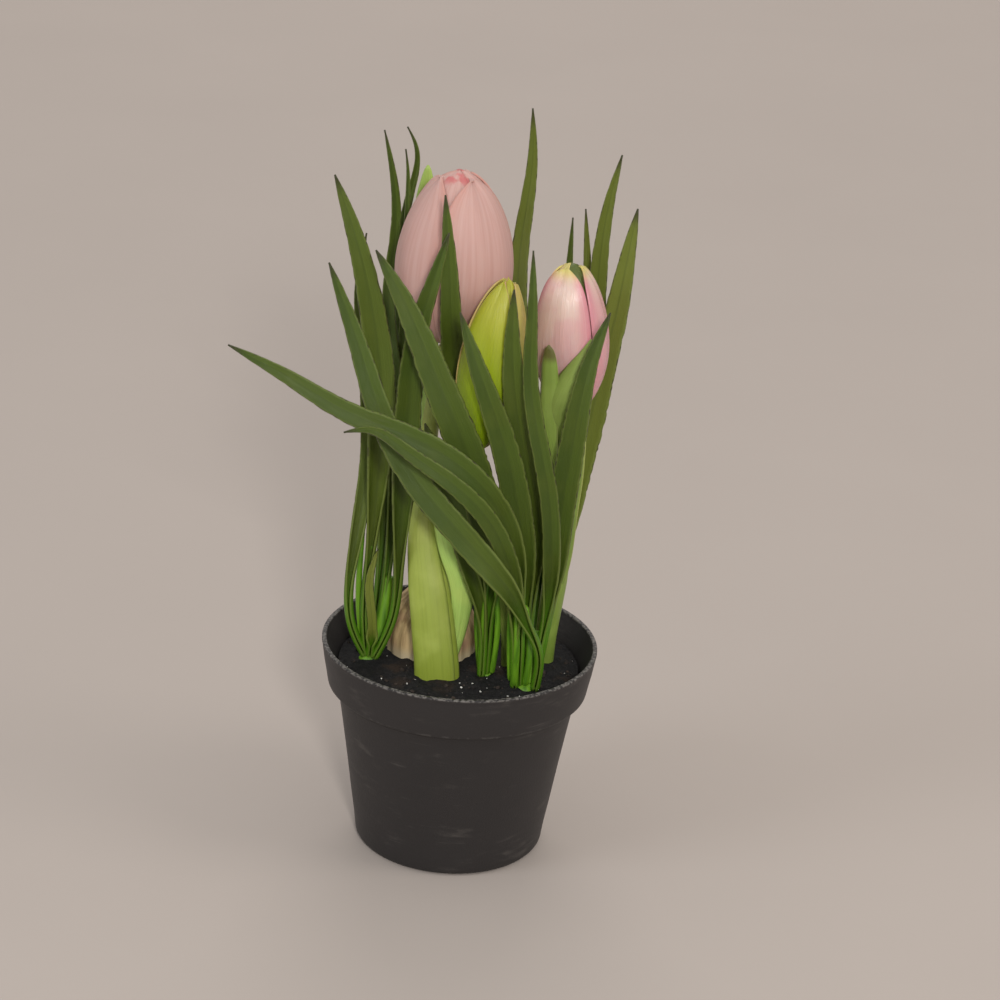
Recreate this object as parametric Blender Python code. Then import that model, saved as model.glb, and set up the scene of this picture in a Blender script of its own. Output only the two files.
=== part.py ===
# Potted tulip: three flowers of one planting, a bulb and four tufts of strap leaves,
# standing in soil in a small round plant pot.
# Metres, +Z up. The origin is the middle of the pot's flat base, and -Y is the front.
import math

import bmesh
import bpy
import numpy as np
from mathutils import Matrix, Vector

MM = 0.001

# Driving dimensions, in millimetres
RIM_RADIUS = 45.0
POT_HEIGHT = 71.0
COLLAR_HEIGHT = 15.0
STEP_RADIUS = 42.6
BODY_TOP_RADIUS = 39.5
BASE_RADIUS = 30.8
BASE_ROUND = 3.0
BASE_THICK = 1.6
WALL = 1.2
LIP = 1.5
DRAIN_RADIUS = 3.0
DRAIN_CIRCLE = 22.0
DRAIN_COUNT = 6
SOIL_LEVEL = 64.0
SOIL_EDGE_DROP = 1.6
ROOT_DEPTH = 12.0
GAP = 0.3
HOLE_CLEARANCE = 0.45
TUFT_TOP = 1.6
BLADE_EDGE = 0.66
BLADE_MIDDLE = 0.85
PETAL_THICK = 0.8
PETAL_ROOT_THICK = 2.4

# Where each plant stands in the soil: middle in X and Y, and half its width in X and Y
BULB_SPOT = (-9.6, 10.0, 15.4, 15.4)
PINK_SPOT = (-6.5, -12.8, 7.4, 4.2)
YELLOW_SPOT = (15.5, -1.5, 1.6, 1.6)
BLUSH_SPOT = (27.6, 5.5, 3.5, 3.5)
LEFT_TUFT_SPOT = (-29.0, -1.5, 4.5, 4.5)
MIDDLE_TUFT_SPOT = (9.0, -9.0, 3.6, 3.6)
FRONT_TUFT_SPOT = (21.5, -15.5, 5.4, 5.0)
RIGHT_TUFT_SPOT = (27.5, 15.5, 3.4, 3.4)


# Scene and materials

def clear_scene():
    for item in list(bpy.data.objects):
        bpy.data.objects.remove(item, do_unlink=True)


def material(name, colour, roughness):
    mat = bpy.data.materials.new(name)
    mat.use_nodes = True
    shader = mat.node_tree.nodes["Principled BSDF"]
    shader.inputs["Base Color"].default_value = (*colour, 1.0)
    shader.inputs["Roughness"].default_value = roughness
    shader.inputs["Metallic"].default_value = 0.0
    return mat


def mesh_object(name, bm, mat, smooth_angle=40.0):
    """An object from a bmesh in millimetres, scaled to metres, shaded smooth."""
    bmesh.ops.remove_doubles(bm, verts=bm.verts, dist=0.001)
    bmesh.ops.scale(bm, vec=(MM, MM, MM), verts=bm.verts)
    mesh = bpy.data.meshes.new(name)
    bm.to_mesh(mesh)
    bm.free()
    mesh.shade_smooth()
    mesh.set_sharp_from_angle(angle=math.radians(smooth_angle))
    mesh.materials.append(mat)
    piece = bpy.data.objects.new(name, mesh)
    bpy.context.scene.collection.objects.link(piece)
    return piece


def join_pieces(core, others):
    """Fuse the other objects into the core with one Boolean union, and remove them."""
    group = bpy.data.collections.new(core.name + "_group")
    bpy.context.scene.collection.children.link(group)
    for item in others:
        group.objects.link(item)
    union = core.modifiers.new("Union", "BOOLEAN")
    union.operation = "UNION"
    union.operand_type = "COLLECTION"
    union.collection = group
    union.solver = "EXACT"
    bake(core)
    for item in others:
        bpy.data.objects.remove(item, do_unlink=True)
    bpy.data.collections.remove(group)
    return keep_outside(core)


def keep_outside(piece):
    """Drop the hollows that fusing sealed and any loose scrap, and keep the largest shell."""
    bm = bmesh.new()
    bm.from_mesh(piece.data)
    left = set(bm.faces)
    shells = []
    while left:
        stack = [left.pop()]
        shell = []
        while stack:
            face = stack.pop()
            shell.append(face)
            for edge in face.edges:
                for other in edge.link_faces:
                    if other in left:
                        left.remove(other)
                        stack.append(other)
        shells.append(shell)
    shells.sort(key=len, reverse=True)
    for shell in shells[1:]:
        bmesh.ops.delete(bm, geom=shell, context="FACES")
    loose = [v for v in bm.verts if not v.link_faces]
    bmesh.ops.delete(bm, geom=loose, context="VERTS")
    bm.to_mesh(piece.data)
    bm.free()
    return piece


def cut_pieces(core, cutters):
    """Cut every cutter out of the core, and remove the cutters."""
    group = bpy.data.collections.new(core.name + "_cutters")
    bpy.context.scene.collection.children.link(group)
    for item in cutters:
        item.hide_render = True
        item.display_type = "WIRE"
        group.objects.link(item)
    cut = core.modifiers.new("Cut", "BOOLEAN")
    cut.operation = "DIFFERENCE"
    cut.operand_type = "COLLECTION"
    cut.collection = group
    cut.solver = "EXACT"
    bake(core)
    for item in cutters:
        bpy.data.objects.remove(item, do_unlink=True)
    bpy.data.collections.remove(group)
    return core


def bake(piece):
    """Replace the object's mesh by its evaluated mesh, with one material slot."""
    mat = piece.data.materials[0]
    bpy.context.view_layer.update()
    seen = piece.evaluated_get(bpy.context.evaluated_depsgraph_get())
    mesh = bpy.data.meshes.new_from_object(seen)
    piece.modifiers.clear()
    piece.data = mesh
    mesh.materials.clear()
    mesh.materials.append(mat)
    mesh.name = piece.name
    for polygon in mesh.polygons:
        polygon.material_index = 0
    mesh.shade_smooth()
    mesh.set_sharp_from_angle(angle=math.radians(40.0))


# Curves and sheets

def smooth_route(points, count):
    """Evenly spaced points on a natural cubic spline through a route, and their shares of it."""
    pts = np.array(points, float)
    steps = np.linalg.norm(np.diff(pts, axis=0), axis=1)
    knots = np.concatenate([[0.0], np.cumsum(steps)])
    n = len(pts)
    system = np.zeros((n, n))
    right = np.zeros((n, 3))
    system[0, 0] = system[-1, -1] = 1.0
    for i in range(1, n - 1):
        before, after = steps[i - 1], steps[i]
        system[i, i - 1:i + 2] = before, 2.0 * (before + after), after
        right[i] = 6.0 * ((pts[i + 1] - pts[i]) / after - (pts[i] - pts[i - 1]) / before)
    bend = np.linalg.solve(system, right)
    found = []
    for t in np.linspace(0.0, knots[-1], count):
        i = min(int(np.searchsorted(knots, t, side="right")) - 1, n - 2)
        h = steps[i]
        a, b = knots[i + 1] - t, t - knots[i]
        found.append(bend[i] * a ** 3 / (6 * h) + bend[i + 1] * b ** 3 / (6 * h)
                     + (pts[i] / h - bend[i] * h / 6) * a
                     + (pts[i + 1] / h - bend[i + 1] * h / 6) * b)
    return np.array(found), np.linspace(0.0, 1.0, count)


def unit(vector):
    return vector / np.linalg.norm(vector)


def frames(route, facings):
    """Side and face directions along a route, with the face turned towards the facings."""
    sides, faces = [], []
    for tangent, facing in zip(np.gradient(route, axis=0), facings):
        along = unit(tangent)
        side = unit(np.cross(facing, along))
        sides.append(side)
        faces.append(unit(np.cross(along, side)))
    return np.array(sides), np.array(faces)


def ease(low, high, value):
    t = min(max((value - low) / (high - low), 0.0), 1.0)
    return t * t * (3.0 - 2.0 * t)


def closed_sheet(name, front, back, mat):
    """A closed body between two grids of points, both split into triangles alike."""
    rows, cols = len(front), len(front[0])
    bm = bmesh.new()
    top = [[bm.verts.new(p) for p in row] for row in front]
    low = [[bm.verts.new(p) for p in row] for row in back]

    def pair(a, b, c, d):
        bm.faces.new((a, b, c))
        bm.faces.new((a, c, d))

    for i in range(rows - 1):
        for j in range(cols - 1):
            pair(top[i][j], top[i][j + 1], top[i + 1][j + 1], top[i + 1][j])
            bm.faces.new((low[i + 1][j + 1], low[i][j + 1], low[i][j]))
            bm.faces.new((low[i + 1][j], low[i + 1][j + 1], low[i][j]))
        pair(low[i][0], top[i][0], top[i + 1][0], low[i + 1][0])
        pair(top[i][-1], low[i][-1], low[i + 1][-1], top[i + 1][-1])
    for j in range(cols - 1):
        pair(low[0][j], low[0][j + 1], top[0][j + 1], top[0][j])
        pair(top[-1][j], top[-1][j + 1], low[-1][j + 1], low[-1][j])
    bmesh.ops.recalc_face_normals(bm, faces=bm.faces)
    return mesh_object(name, bm, mat)


def loft(name, rings, mat):
    """A closed tube through rings of points, closed at each end by a fan to its middle."""
    bm = bmesh.new()
    loops = [[bm.verts.new(p) for p in ring] for ring in rings]
    for low, high in zip(loops, loops[1:]):
        for j in range(len(low)):
            k = (j + 1) % len(low)
            bm.faces.new((low[j], low[k], high[k], high[j]))
    for loop, ring in ((loops[0], rings[0]), (loops[-1], rings[-1])):
        middle = bm.verts.new(np.mean(ring, axis=0))
        for j in range(len(loop)):
            bm.faces.new((loop[j], loop[(j + 1) % len(loop)], middle))
    bmesh.ops.recalc_face_normals(bm, faces=bm.faces)
    return mesh_object(name, bm, mat)


def tube(name, points, widths, mat, sides=10, count=9, flatten=1.0, facing=(0.0, -1.0, 0.0)):
    """A round stalk along a route; widths are its half widths, spread evenly along it."""
    route, shares = smooth_route(points, count)
    across, outward = frames(route, [np.array(facing)] * count)
    radii = np.interp(shares, np.linspace(0.0, 1.0, len(widths)), widths)
    rings = []
    for middle, side, face, radius in zip(route, across, outward, radii):
        turns = [2.0 * math.pi * k / sides for k in range(sides)]
        rings.append([middle + side * radius * math.cos(a) + face * radius * flatten * math.sin(a)
                      for a in turns])
    return loft(name, rings, mat)


def strap_width(share, width, stalk, opens):
    """Half width of a strap leaf: a round stalk that opens into a strap and ends in a point."""
    strap = stalk + (width / 2.0 - stalk) * ease(0.10, opens, share)
    ragged = 1.0 + 0.035 * math.sin(41.0 * share + width) * ease(opens, 0.9, share)
    taper = max(1.0 - max((share - 0.45) / 0.55, 0.0) ** 2.4, 0.0) ** 0.75
    return max(strap * ragged * taper, 0.45)


def strap_leaf(name, route, width, mat, opens=0.35, stalk=1.15, fold=0.22,
               face_low=(0.0, -1.0, 0.3), face_high=(0.0, -1.0, 0.3), rows=15):
    """A strap leaf folded along its middle, from a thick stalk to a thin pointed tip."""
    points, shares = smooth_route(route, rows)
    turn = [unit(np.array(face_low) * (1.0 - s) + np.array(face_high) * s) for s in shares]
    across, outward = frames(points, turn)
    front, back = [], []
    for point, share, side, face in zip(points, shares, across, outward):
        half = strap_width(share, width, stalk, opens)
        flat = ease(0.02, opens, share)
        edge = 1.1 + (BLADE_EDGE - 1.1) * flat
        middle = 2.0 * stalk + (BLADE_MIDDLE - 2.0 * stalk) * flat
        lift = fold * half * flat
        front.append([point - side * half + face * (lift + edge / 2),
                      point + face * middle / 2,
                      point + side * half + face * (lift + edge / 2)])
        back.append([point - side * half + face * (lift - edge / 2),
                     point - face * middle / 2,
                     point + side * half + face * (lift - edge / 2)])
    return closed_sheet(name, front, back, mat)


def broad_leaf(name, route, widths, mat, fold=0.25, cols=5, rows=12,
               face_low=(0.0, -1.0, 0.1), face_high=(0.0, -1.0, 0.1)):
    """A broad leaf bent round its midrib; widths are half widths spread along it."""
    points, shares = smooth_route(route, rows)
    turn = [unit(np.array(face_low) * (1.0 - s) + np.array(face_high) * s) for s in shares]
    across, outward = frames(points, turn)
    halves = np.interp(shares, np.linspace(0.0, 1.0, len(widths)), widths)
    front, back = [], []
    for point, side, face, half, share in zip(points, across, outward, halves, shares):
        row_front, row_back = [], []
        for j in range(cols):
            a = 2.0 * j / (cols - 1) - 1.0
            wave = 0.12 * half * math.sin(9.0 * share + 2.0 * a) * abs(a)
            lift = -fold * half * a * a * 2.0 + wave
            row_front.append(point + side * half * a + face * (lift + 0.4))
            row_back.append(point + side * half * a + face * (lift - 0.4))
        front.append(row_front)
        back.append(row_back)
    return closed_sheet(name, front, back, mat)


# Flowers

def bloom_frame(base, tip):
    """The matrix that takes a flower modelled along Z from its base to its place."""
    base, tip = Vector(base), Vector(tip)
    axis = (tip - base).normalized()
    side = Vector((1.0, 0.0, 0.0))
    side = (side - axis * side.dot(axis)).normalized()
    front = axis.cross(side)
    turn = Matrix((side, front, axis)).transposed().to_4x4()
    return Matrix.Translation(base) @ turn, (tip - base).length


def bloom_radius(share, widest, at, blunt):
    """Radius of a closed flower at a share of its height; blunt is its low and high bluntness."""
    power = math.log(0.5) / math.log(at)
    return widest * max(math.sin(math.pi * share ** power), 0.0) ** blunt[share > at]


def petal(name, shape, azimuth, span, offset, top, lean, mat, rows=8, cols=5):
    """One petal: a curved shell round the flower's axis, with a rounded tip."""
    place, length, widest, at, blunt = shape
    front, back = [], []
    for i in range(rows):
        rise = math.sin(math.pi / 2.0 * i / (rows - 1))
        share = 0.03 + (top - 0.03) * rise
        reach = span * max(1.0 - rise ** 4.5, 0.03) ** 0.6
        radius = bloom_radius(min(share, 0.975), widest, at, blunt)
        thick = PETAL_THICK + (PETAL_ROOT_THICK - PETAL_THICK) * (1.0 - ease(0.7, 1.0, rise))
        row_front, row_back = [], []
        for j in range(cols):
            a = 2.0 * j / (cols - 1) - 1.0
            angle = math.radians(azimuth + reach * a)
            out = radius + offset + lean * a * ease(0.0, 0.3, rise) - 0.5 * (1.0 - abs(a)) * rise
            for row, depth in ((row_front, 0.0), (row_back, thick)):
                r = max(out - depth, 0.3)
                point = Vector((r * math.cos(angle), r * math.sin(angle), share * length))
                row.append(place @ point)
        front.append(row_front)
        back.append(row_back)
    return closed_sheet(name, front, back, mat)


def flower(name, base, tip, widest, at, blunt, petals, mat, core_shrink=1.0, sides=12):
    """A closed flower: its petals stand out of a slimmer core that joins them."""
    place, length = bloom_frame(base, tip)
    shape = (place, length, widest, at, blunt)
    rings = []
    for i in range(8):
        share = 0.012 + 0.9 * i / 7
        radius = max(bloom_radius(share, widest, at, blunt) - core_shrink, 1.2)
        rings.append([place @ Vector((radius * math.cos(2 * math.pi * k / sides),
                                      radius * math.sin(2 * math.pi * k / sides),
                                      share * length)) for k in range(sides)])
    core = loft(name, [[np.array(p) for p in ring] for ring in rings], mat)
    shells = [petal(name + "_petal", shape, *settings, mat) for settings in petals]
    return join_pieces(core, shells)


# The pot

def turned(name, profile, segments, mat):
    """A body turned from a profile of (radius, height) pairs that starts and ends on the axis."""
    bm = bmesh.new()
    verts = [bm.verts.new((r, 0.0, z)) for r, z in profile]
    edges = [bm.edges.new(pair) for pair in zip(verts, verts[1:])]
    bmesh.ops.spin(bm, geom=verts + edges, cent=(0, 0, 0), axis=(0, 0, 1),
                   angle=2.0 * math.pi, steps=segments, use_merge=True, use_duplicate=False)
    bmesh.ops.remove_doubles(bm, verts=bm.verts, dist=0.001)
    bmesh.ops.recalc_face_normals(bm, faces=bm.faces)
    return mesh_object(name, bm, mat)


def wall_radius(z):
    """Outer radius of the pot's tapering body at a height."""
    return BASE_RADIUS + (BODY_TOP_RADIUS - BASE_RADIUS) * z / (POT_HEIGHT - COLLAR_HEIGHT)


def inner_radius(z):
    """Inner radius of the pot: the body's wall, then the flare under the rim."""
    step = POT_HEIGHT - COLLAR_HEIGHT
    if z <= step:
        return wall_radius(z) - WALL
    share = (z - step) / (POT_HEIGHT - step)
    low = wall_radius(step) - WALL
    return low + (RIM_RADIUS - LIP - low) * share ** 1.6


def drain_places():
    for k in range(DRAIN_COUNT):
        angle = 2.0 * math.pi * (k + 0.5) / DRAIN_COUNT
        yield DRAIN_CIRCLE * math.cos(angle), DRAIN_CIRCLE * math.sin(angle)


def post(name, x, y, half_x, half_y, low, high, sides, mat):
    """A plain upright post with an oval section."""
    rings = [[np.array((x + half_x * math.cos(2 * math.pi * k / sides),
                        y + half_y * math.sin(2 * math.pi * k / sides), z))
              for k in range(sides)] for z in (low, high)]
    return loft(name, rings, mat)


def make_pot():
    black = material("pot_black", (0.030, 0.027, 0.027), 0.62)
    step = POT_HEIGHT - COLLAR_HEIGHT
    profile = [(0.0, 0.0), (BASE_RADIUS - BASE_ROUND, 0.0)]
    for k in (1, 2):
        turn = math.radians(45.0 * k)
        profile.append((BASE_RADIUS - BASE_ROUND * (1.0 - math.sin(turn)) + 0.2 * k,
                        BASE_ROUND * (1.0 - math.cos(turn))))
    profile += [(BODY_TOP_RADIUS, step), (STEP_RADIUS - 0.4, step), (STEP_RADIUS, step + 0.5),
                (RIM_RADIUS, POT_HEIGHT - 0.5), (RIM_RADIUS - 0.5, POT_HEIGHT),
                (RIM_RADIUS - LIP + 0.3, POT_HEIGHT), (RIM_RADIUS - LIP, POT_HEIGHT - 0.5)]
    for z in (POT_HEIGHT - 6.5, step):
        profile.append((inner_radius(z), z))
    profile += [(inner_radius(BASE_THICK), BASE_THICK), (0.0, BASE_THICK)]
    pot = turned("pot", profile, 40, black)
    drains = [post("drain", x, y, DRAIN_RADIUS, DRAIN_RADIUS, -1.0, BASE_THICK + 1.0, 8, black)
              for x, y in drain_places()]
    return cut_pieces(pot, drains)


# The soil

def soil_height(x, y):
    """The lumpy top of the soil, a little lower at the pot's wall."""
    radius = math.hypot(x, y)
    lumps = (0.5 * math.sin(0.55 * x + 1.0) * math.sin(0.47 * y)
             + 0.35 * math.sin(0.9 * x - 0.7 * y + 2.0) + 0.25 * math.sin(1.3 * y + 0.4 * x))
    return SOIL_LEVEL + lumps - SOIL_EDGE_DROP * (radius / inner_radius(SOIL_LEVEL)) ** 4


def make_soil():
    dark = material("soil", (0.020, 0.017, 0.016), 0.95)
    bm = bmesh.new()
    segments, circles = 32, (8.0, 15.0, 22.0, 29.0, 34.5, None)
    floor = BASE_THICK + GAP
    step = POT_HEIGHT - COLLAR_HEIGHT
    edge = inner_radius(SOIL_LEVEL - SOIL_EDGE_DROP) - GAP - 0.15

    def ring(radius, height=None):
        found = []
        for k in range(segments):
            angle = 2.0 * math.pi * k / segments
            x, y = radius * math.cos(angle), radius * math.sin(angle)
            z = soil_height(x, y) if height is None else height
            found.append(bm.verts.new((x, y, z)))
        return found

    middle = bm.verts.new((0.0, 0.0, soil_height(0.0, 0.0)))
    loops = [ring(edge if radius is None else radius) for radius in circles]
    loops.append(ring(inner_radius(step) - GAP - 0.1, step))
    loops.append(ring(inner_radius(floor) - GAP - 0.1, floor))
    bottom = bm.verts.new((0.0, 0.0, floor))
    for k in range(segments):
        n = (k + 1) % segments
        bm.faces.new((middle, loops[0][k], loops[0][n]))
        for high, low in zip(loops, loops[1:]):
            bm.faces.new((high[k], low[k], low[n], high[n]))
        bm.faces.new((bottom, loops[-1][n], loops[-1][k]))
    bmesh.ops.triangulate(bm, faces=bm.faces)
    bmesh.ops.recalc_face_normals(bm, faces=bm.faces)
    soil = mesh_object("soil", bm, dark)
    low = SOIL_LEVEL - ROOT_DEPTH - GAP
    holes = []
    for spot in (PINK_SPOT, YELLOW_SPOT, BLUSH_SPOT, LEFT_TUFT_SPOT, MIDDLE_TUFT_SPOT,
                 FRONT_TUFT_SPOT, RIGHT_TUFT_SPOT):
        x, y, half_x, half_y = spot
        holes.append(post("hole", x, y, half_x + HOLE_CLEARANCE, half_y + HOLE_CLEARANCE,
                          low, SOIL_LEVEL + 8.0, 12, dark))
    holes.append(bulb_shape("hole", HOLE_CLEARANCE, SOIL_LEVEL + 8.0, dark))
    return cut_pieces(soil, holes)


# The bulb

BULB_LOW = 44.0
BULB_TOP = 90.0
BULB_PROFILE = [(3.5, 0.0), (9.0, 2.0), (13.2, 6.5), (15.1, 13.0), (15.4, 20.0), (15.2, 26.5),
                (13.5, 32.5), (9.8, 38.0), (5.2, 42.5), (2.2, 45.2), (1.0, 46.0)]


def bulb_shape(name, grow, straight_to, mat):
    """The bulb's outline grown by a clearance; above straight_to it goes straight up."""
    profile = [(0.0, BULB_LOW - grow)]
    for radius, height in BULB_PROFILE:
        if straight_to is not None and height > 20.0:
            break
        profile.append((radius + grow, BULB_LOW + height - (grow if height < 10.0 else 0.0)))
    if straight_to is not None:
        profile += [(profile[-1][0], straight_to), (0.0, straight_to)]
    else:
        profile.append((0.0, BULB_TOP))
    bulb = turned(name, profile, 20, mat)
    bulb.data.transform(Matrix.Translation(Vector((BULB_SPOT[0], BULB_SPOT[1], 0.0)) * MM))
    return bulb


def make_bulb():
    brown = material("bulb_skin", (0.21, 0.135, 0.062), 0.6)
    return bulb_shape("bulb", 0.0, None, brown)


# Stems, leaves and flowers

def root(name, spot, mat, top, sides):
    """The part of a plant that stands in its hole in the soil."""
    x, y, half_x, half_y = spot
    return post(name, x, y, half_x, half_y, SOIL_LEVEL - ROOT_DEPTH, SOIL_LEVEL + top, sides, mat)


def make_pink_stem():
    """The pink flower's stem, wrapped low down by a broad leaf, with two more leaves."""
    green = material("leaf_light", (0.28, 0.34, 0.085), 0.45)
    x, y, half_x, half_y = PINK_SPOT
    route = [(x, y, SOIL_LEVEL - ROOT_DEPTH), (x, y, 64), (-8, -11.5, 76), (-10.5, -9, 92),
             (-13, -6, 106), (-14, -4, 116), (-14, 0, 128), (-14, 4, 139), (-12, 9, 158),
             (-10.2, 11.4, 168.6)]
    points, shares = smooth_route(route, 17)
    halves_x = [half_x, half_x, 7.4, 6.9, 5.4, 3.7, 2.9, 2.6, 2.5, 2.4]
    halves_y = [half_y, half_y, 4.1, 3.8, 3.4, 3.0, 2.7, 2.5, 2.4, 2.4]
    knots = np.concatenate([[0.0], np.cumsum(np.linalg.norm(np.diff(route, axis=0), axis=1))])
    knots /= knots[-1]
    wide = np.interp(shares, knots, halves_x)
    deep = np.interp(shares, knots, halves_y)
    rings = []
    for point, a, b in zip(points, wide, deep):
        ring = []
        for k in range(14):
            turn = 2.0 * math.pi * k / 14
            wrap = 1.0 - 0.05 * (1.0 + math.cos(turn + 2.2)) * ease(2.6, 5.0, a)
            level = np.array((a * wrap * math.cos(turn), b * wrap * math.sin(turn), 0.0))
            ring.append(point + level)
        rings.append(ring)
    stem = loft("stem_pink", rings, green)
    side_leaf = broad_leaf("side_leaf", [(-3.0, -13, 67), (-0.5, -10.5, 77), (0.5, -10.5, 88),
                                         (0.2, -11, 98), (-3.2, -10.5, 107), (-6.5, -8.5, 117),
                                         (-9.5, -7, 126)],
                           [2.0, 2.4, 3.2, 4.8, 4.8, 4.2, 1.4], green,
                           face_low=(0.5, -1.0, 0.1), face_high=(0.2, -1.0, 0.2))
    back_leaf = broad_leaf("back_leaf", [(-14, 2, 132), (-16, 14, 146), (-18.5, 26, 168),
                                         (-20, 33, 192), (-20, 34, 221)],
                           [1.6, 4.0, 5.2, 4.6, 0.6], green, fold=0.18,
                           face_low=(0.0, -1.0, 0.4), face_high=(0.0, -1.0, 0.1))
    return join_pieces(stem, [side_leaf, back_leaf])


def make_pink_flower():
    pink = material("petal_pink", (0.53, 0.31, 0.26), 0.55)
    outer = [(178.0, 62.0, 0.4, 0.96, -0.5), (300.0, 76.0, 0.3, 0.98, -0.5),
             (62.0, 66.0, 0.4, 0.96, -0.5)]
    inner = [(240.0, 58.0, -0.2, 1.0, -0.2), (0.0, 58.0, -0.2, 1.0, -0.2),
             (120.0, 58.0, -0.2, 1.0, -0.2)]
    return flower("flower_pink", (-10.0, 12.0, 169.0), (-9.2, 12.0, 227.0), 19.0, 0.44, (0.75, 0.46),
                  inner + outer, pink)


def make_yellow_stem():
    green = material("stem_green", (0.20, 0.26, 0.06), 0.45)
    x, y, half, _ = YELLOW_SPOT
    route = [(x, y, SOIL_LEVEL - ROOT_DEPTH), (x, y, 64), (13.8, -4.5, 84), (10, -7.5, 108),
             (5.5, -10, 128), (2.3, -11.8, 142.6)]
    return tube("stem_yellow", route, [half, half, half, 1.7, 1.9, 2.2], green, count=14)


def make_yellow_flower():
    yellow = material("petal_yellow_green", (0.40, 0.41, 0.075), 0.5)
    outer = [(246.0, 66.0, 0.4, 0.99, 0.4), (355.0, 62.0, 0.3, 0.97, 0.4),
             (128.0, 66.0, 0.3, 0.97, 0.4)]
    inner = [(305.0, 56.0, -0.2, 1.0, 0.2), (65.0, 56.0, -0.2, 1.0, 0.2),
             (185.0, 56.0, -0.2, 1.0, 0.2)]
    return flower("flower_yellow", (1.9, -12.0, 143.2), (8.0, -14.0, 202.0), 10.4, 0.46, (0.7, 0.55),
                  inner + outer, yellow)


def make_blush_stem():
    """The blush flower's stem, with the leaf that clasps it and a smaller leaf beside it."""
    green = material("leaf_mid", (0.24, 0.30, 0.085), 0.45)
    x, y, half, _ = BLUSH_SPOT
    route = [(x, y, SOIL_LEVEL - ROOT_DEPTH), (x, y, 64), (29.4, 4.5, 90), (30.8, 2, 119),
             (31.5, 0.5, 144), (31, 0, 153.6)]
    stem = tube("stem_blush", route, [half, half, 4.0, 3.6, 2.8, 2.6], green, sides=10, count=12)
    clasp = broad_leaf("clasp", [(29.5, 2.0, 84), (29.5, -2.0, 103), (28.2, -7, 128),
                                 (27, -12.5, 148), (27.6, -16, 162), (31.2, -16.5, 173),
                                 (35, -15.5, 184)],
                       [2.6, 4.4, 5.8, 8.0, 8.4, 5.6, 0.6], green, fold=0.2, rows=14,
                       face_low=(-0.1, -1.0, 0.2), face_high=(-0.35, -1.0, 0.3))
    small = broad_leaf("small", [(30, -1, 100), (27, -8, 128), (24, -13.5, 146),
                                 (23, -14.5, 163), (22, -15, 181)],
                       [1.8, 2.4, 2.8, 2.9, 1.2], green, fold=0.2, cols=3,
                       face_low=(-0.2, -1.0, 0.2), face_high=(-0.4, -1.0, 0.2))
    return join_pieces(stem, [clasp, small])


def make_blush_flower():
    blush = material("petal_blush", (0.62, 0.44, 0.38), 0.4)
    outer = [(242.0, 60.0, 0.4, 0.98, -0.4), (352.0, 48.0, 0.4, 0.98, 0.3),
             (140.0, 60.0, 0.3, 0.96, -0.4)]
    inner = [(315.0, 56.0, -0.2, 1.0, 0.2), (75.0, 56.0, -0.2, 1.0, 0.2),
             (195.0, 56.0, -0.2, 1.0, 0.2)]
    return flower("flower_blush", (30.9, 0.0, 154.2), (27.2, 0.0, 203.0), 11.8, 0.45, (0.6, 0.42),
                  inner + outer, blush)


# Tufts of strap leaves: name, width in millimetres, where the strap opens, and the route

LEFT_LEAVES = [
    ("back_thin", 5.0, 0.50, [(-30.5, -2, 64), (-35.5, -4, 76), (-36, -2, 100), (-33.5, 4, 124),
                              (-36.5, 9, 166), (-39, 10, 191), (-37.5, 10, 205)]),
    ("wide", 9.6, 0.60, [(-30, -2, 64), (-31.5, -2.5, 80), (-30.6, -1.5, 100), (-29.6, -2, 122),
                         (-29, -2, 144), (-32.5, -2.5, 177), (-40.5, -3.5, 209), (-47.5, -4, 228)]),
    ("tall_thin", 4.6, 0.50, [(-27.5, -0.5, 64), (-25, 2, 93), (-24, 7, 123), (-26, 16, 153),
                              (-30, 25, 178), (-29, 27, 204), (-34, 23, 235)]),
    ("front", 8.6, 0.60, [(-27.5, -3, 64), (-22.5, -5, 78), (-21, -8, 100), (-20.8, -11, 123),
                          (-20.5, -14, 158), (-19, -15.5, 182), (-15, -16, 200), (-11, -17, 216)]),
    ("hooked", 4.2, 0.45, [(-28.5, 0.5, 64), (-27.3, 6, 94), (-27.5, 19, 146), (-28, 30, 182),
                           (-25.5, 32, 210), (-24, 30, 228), (-27, 28, 235)]),
    ("side_tip", 3.2, 0.45, [(-27.2, 1.4, 64), (-25.4, 8, 94), (-24.6, 17, 146), (-24.8, 24, 182),
                             (-25.6, 26.5, 207), (-26.4, 27, 223), (-27.2, 27, 228)]),
    ("bract", 3.0, 0.30, [(-29, -2.5, 64), (-28.8, -5.4, 79), (-30.2, -5.6, 91), (-28, -6, 104)]),
]
MIDDLE_LEAVES = [
    ("broad", 11.4, 0.34, [(9, -9.5, 64), (9, -12, 91), (7.4, -15, 113), (2.2, -20, 136),
                           (-4.6, -23, 154), (-11, -23, 168), (-25, -21, 197), (-33, -20, 210)]),
    ("rose_front", 8.6, 0.42, [(8.5, -8.5, 64), (6.5, -3.5, 91), (3, -1.5, 114), (-3, -1.5, 140),
                               (-6, -2.5, 160), (-7.5, -4.5, 172), (-9, -10.5, 186),
                               (-10, -11.5, 198), (-13, -10.5, 226)]),
    ("tallest", 6.8, 0.35, [(9.5, -8, 64), (9.8, -0.5, 76), (11.3, 4, 92), (13, 9, 130),
                            (12, 18, 170), (11, 24.5, 196), (13, 26, 226), (12, 24, 245)]),
    ("inner", 9.4, 0.62, [(7.8, -10.5, 64), (7, -12.5, 84), (2.5, -14.2, 104), (-2.2, -14.8, 119),
                          (-7.5, -15.2, 131), (-12, -16.2, 144), (-15, -17.5, 153)]),
]
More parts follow.
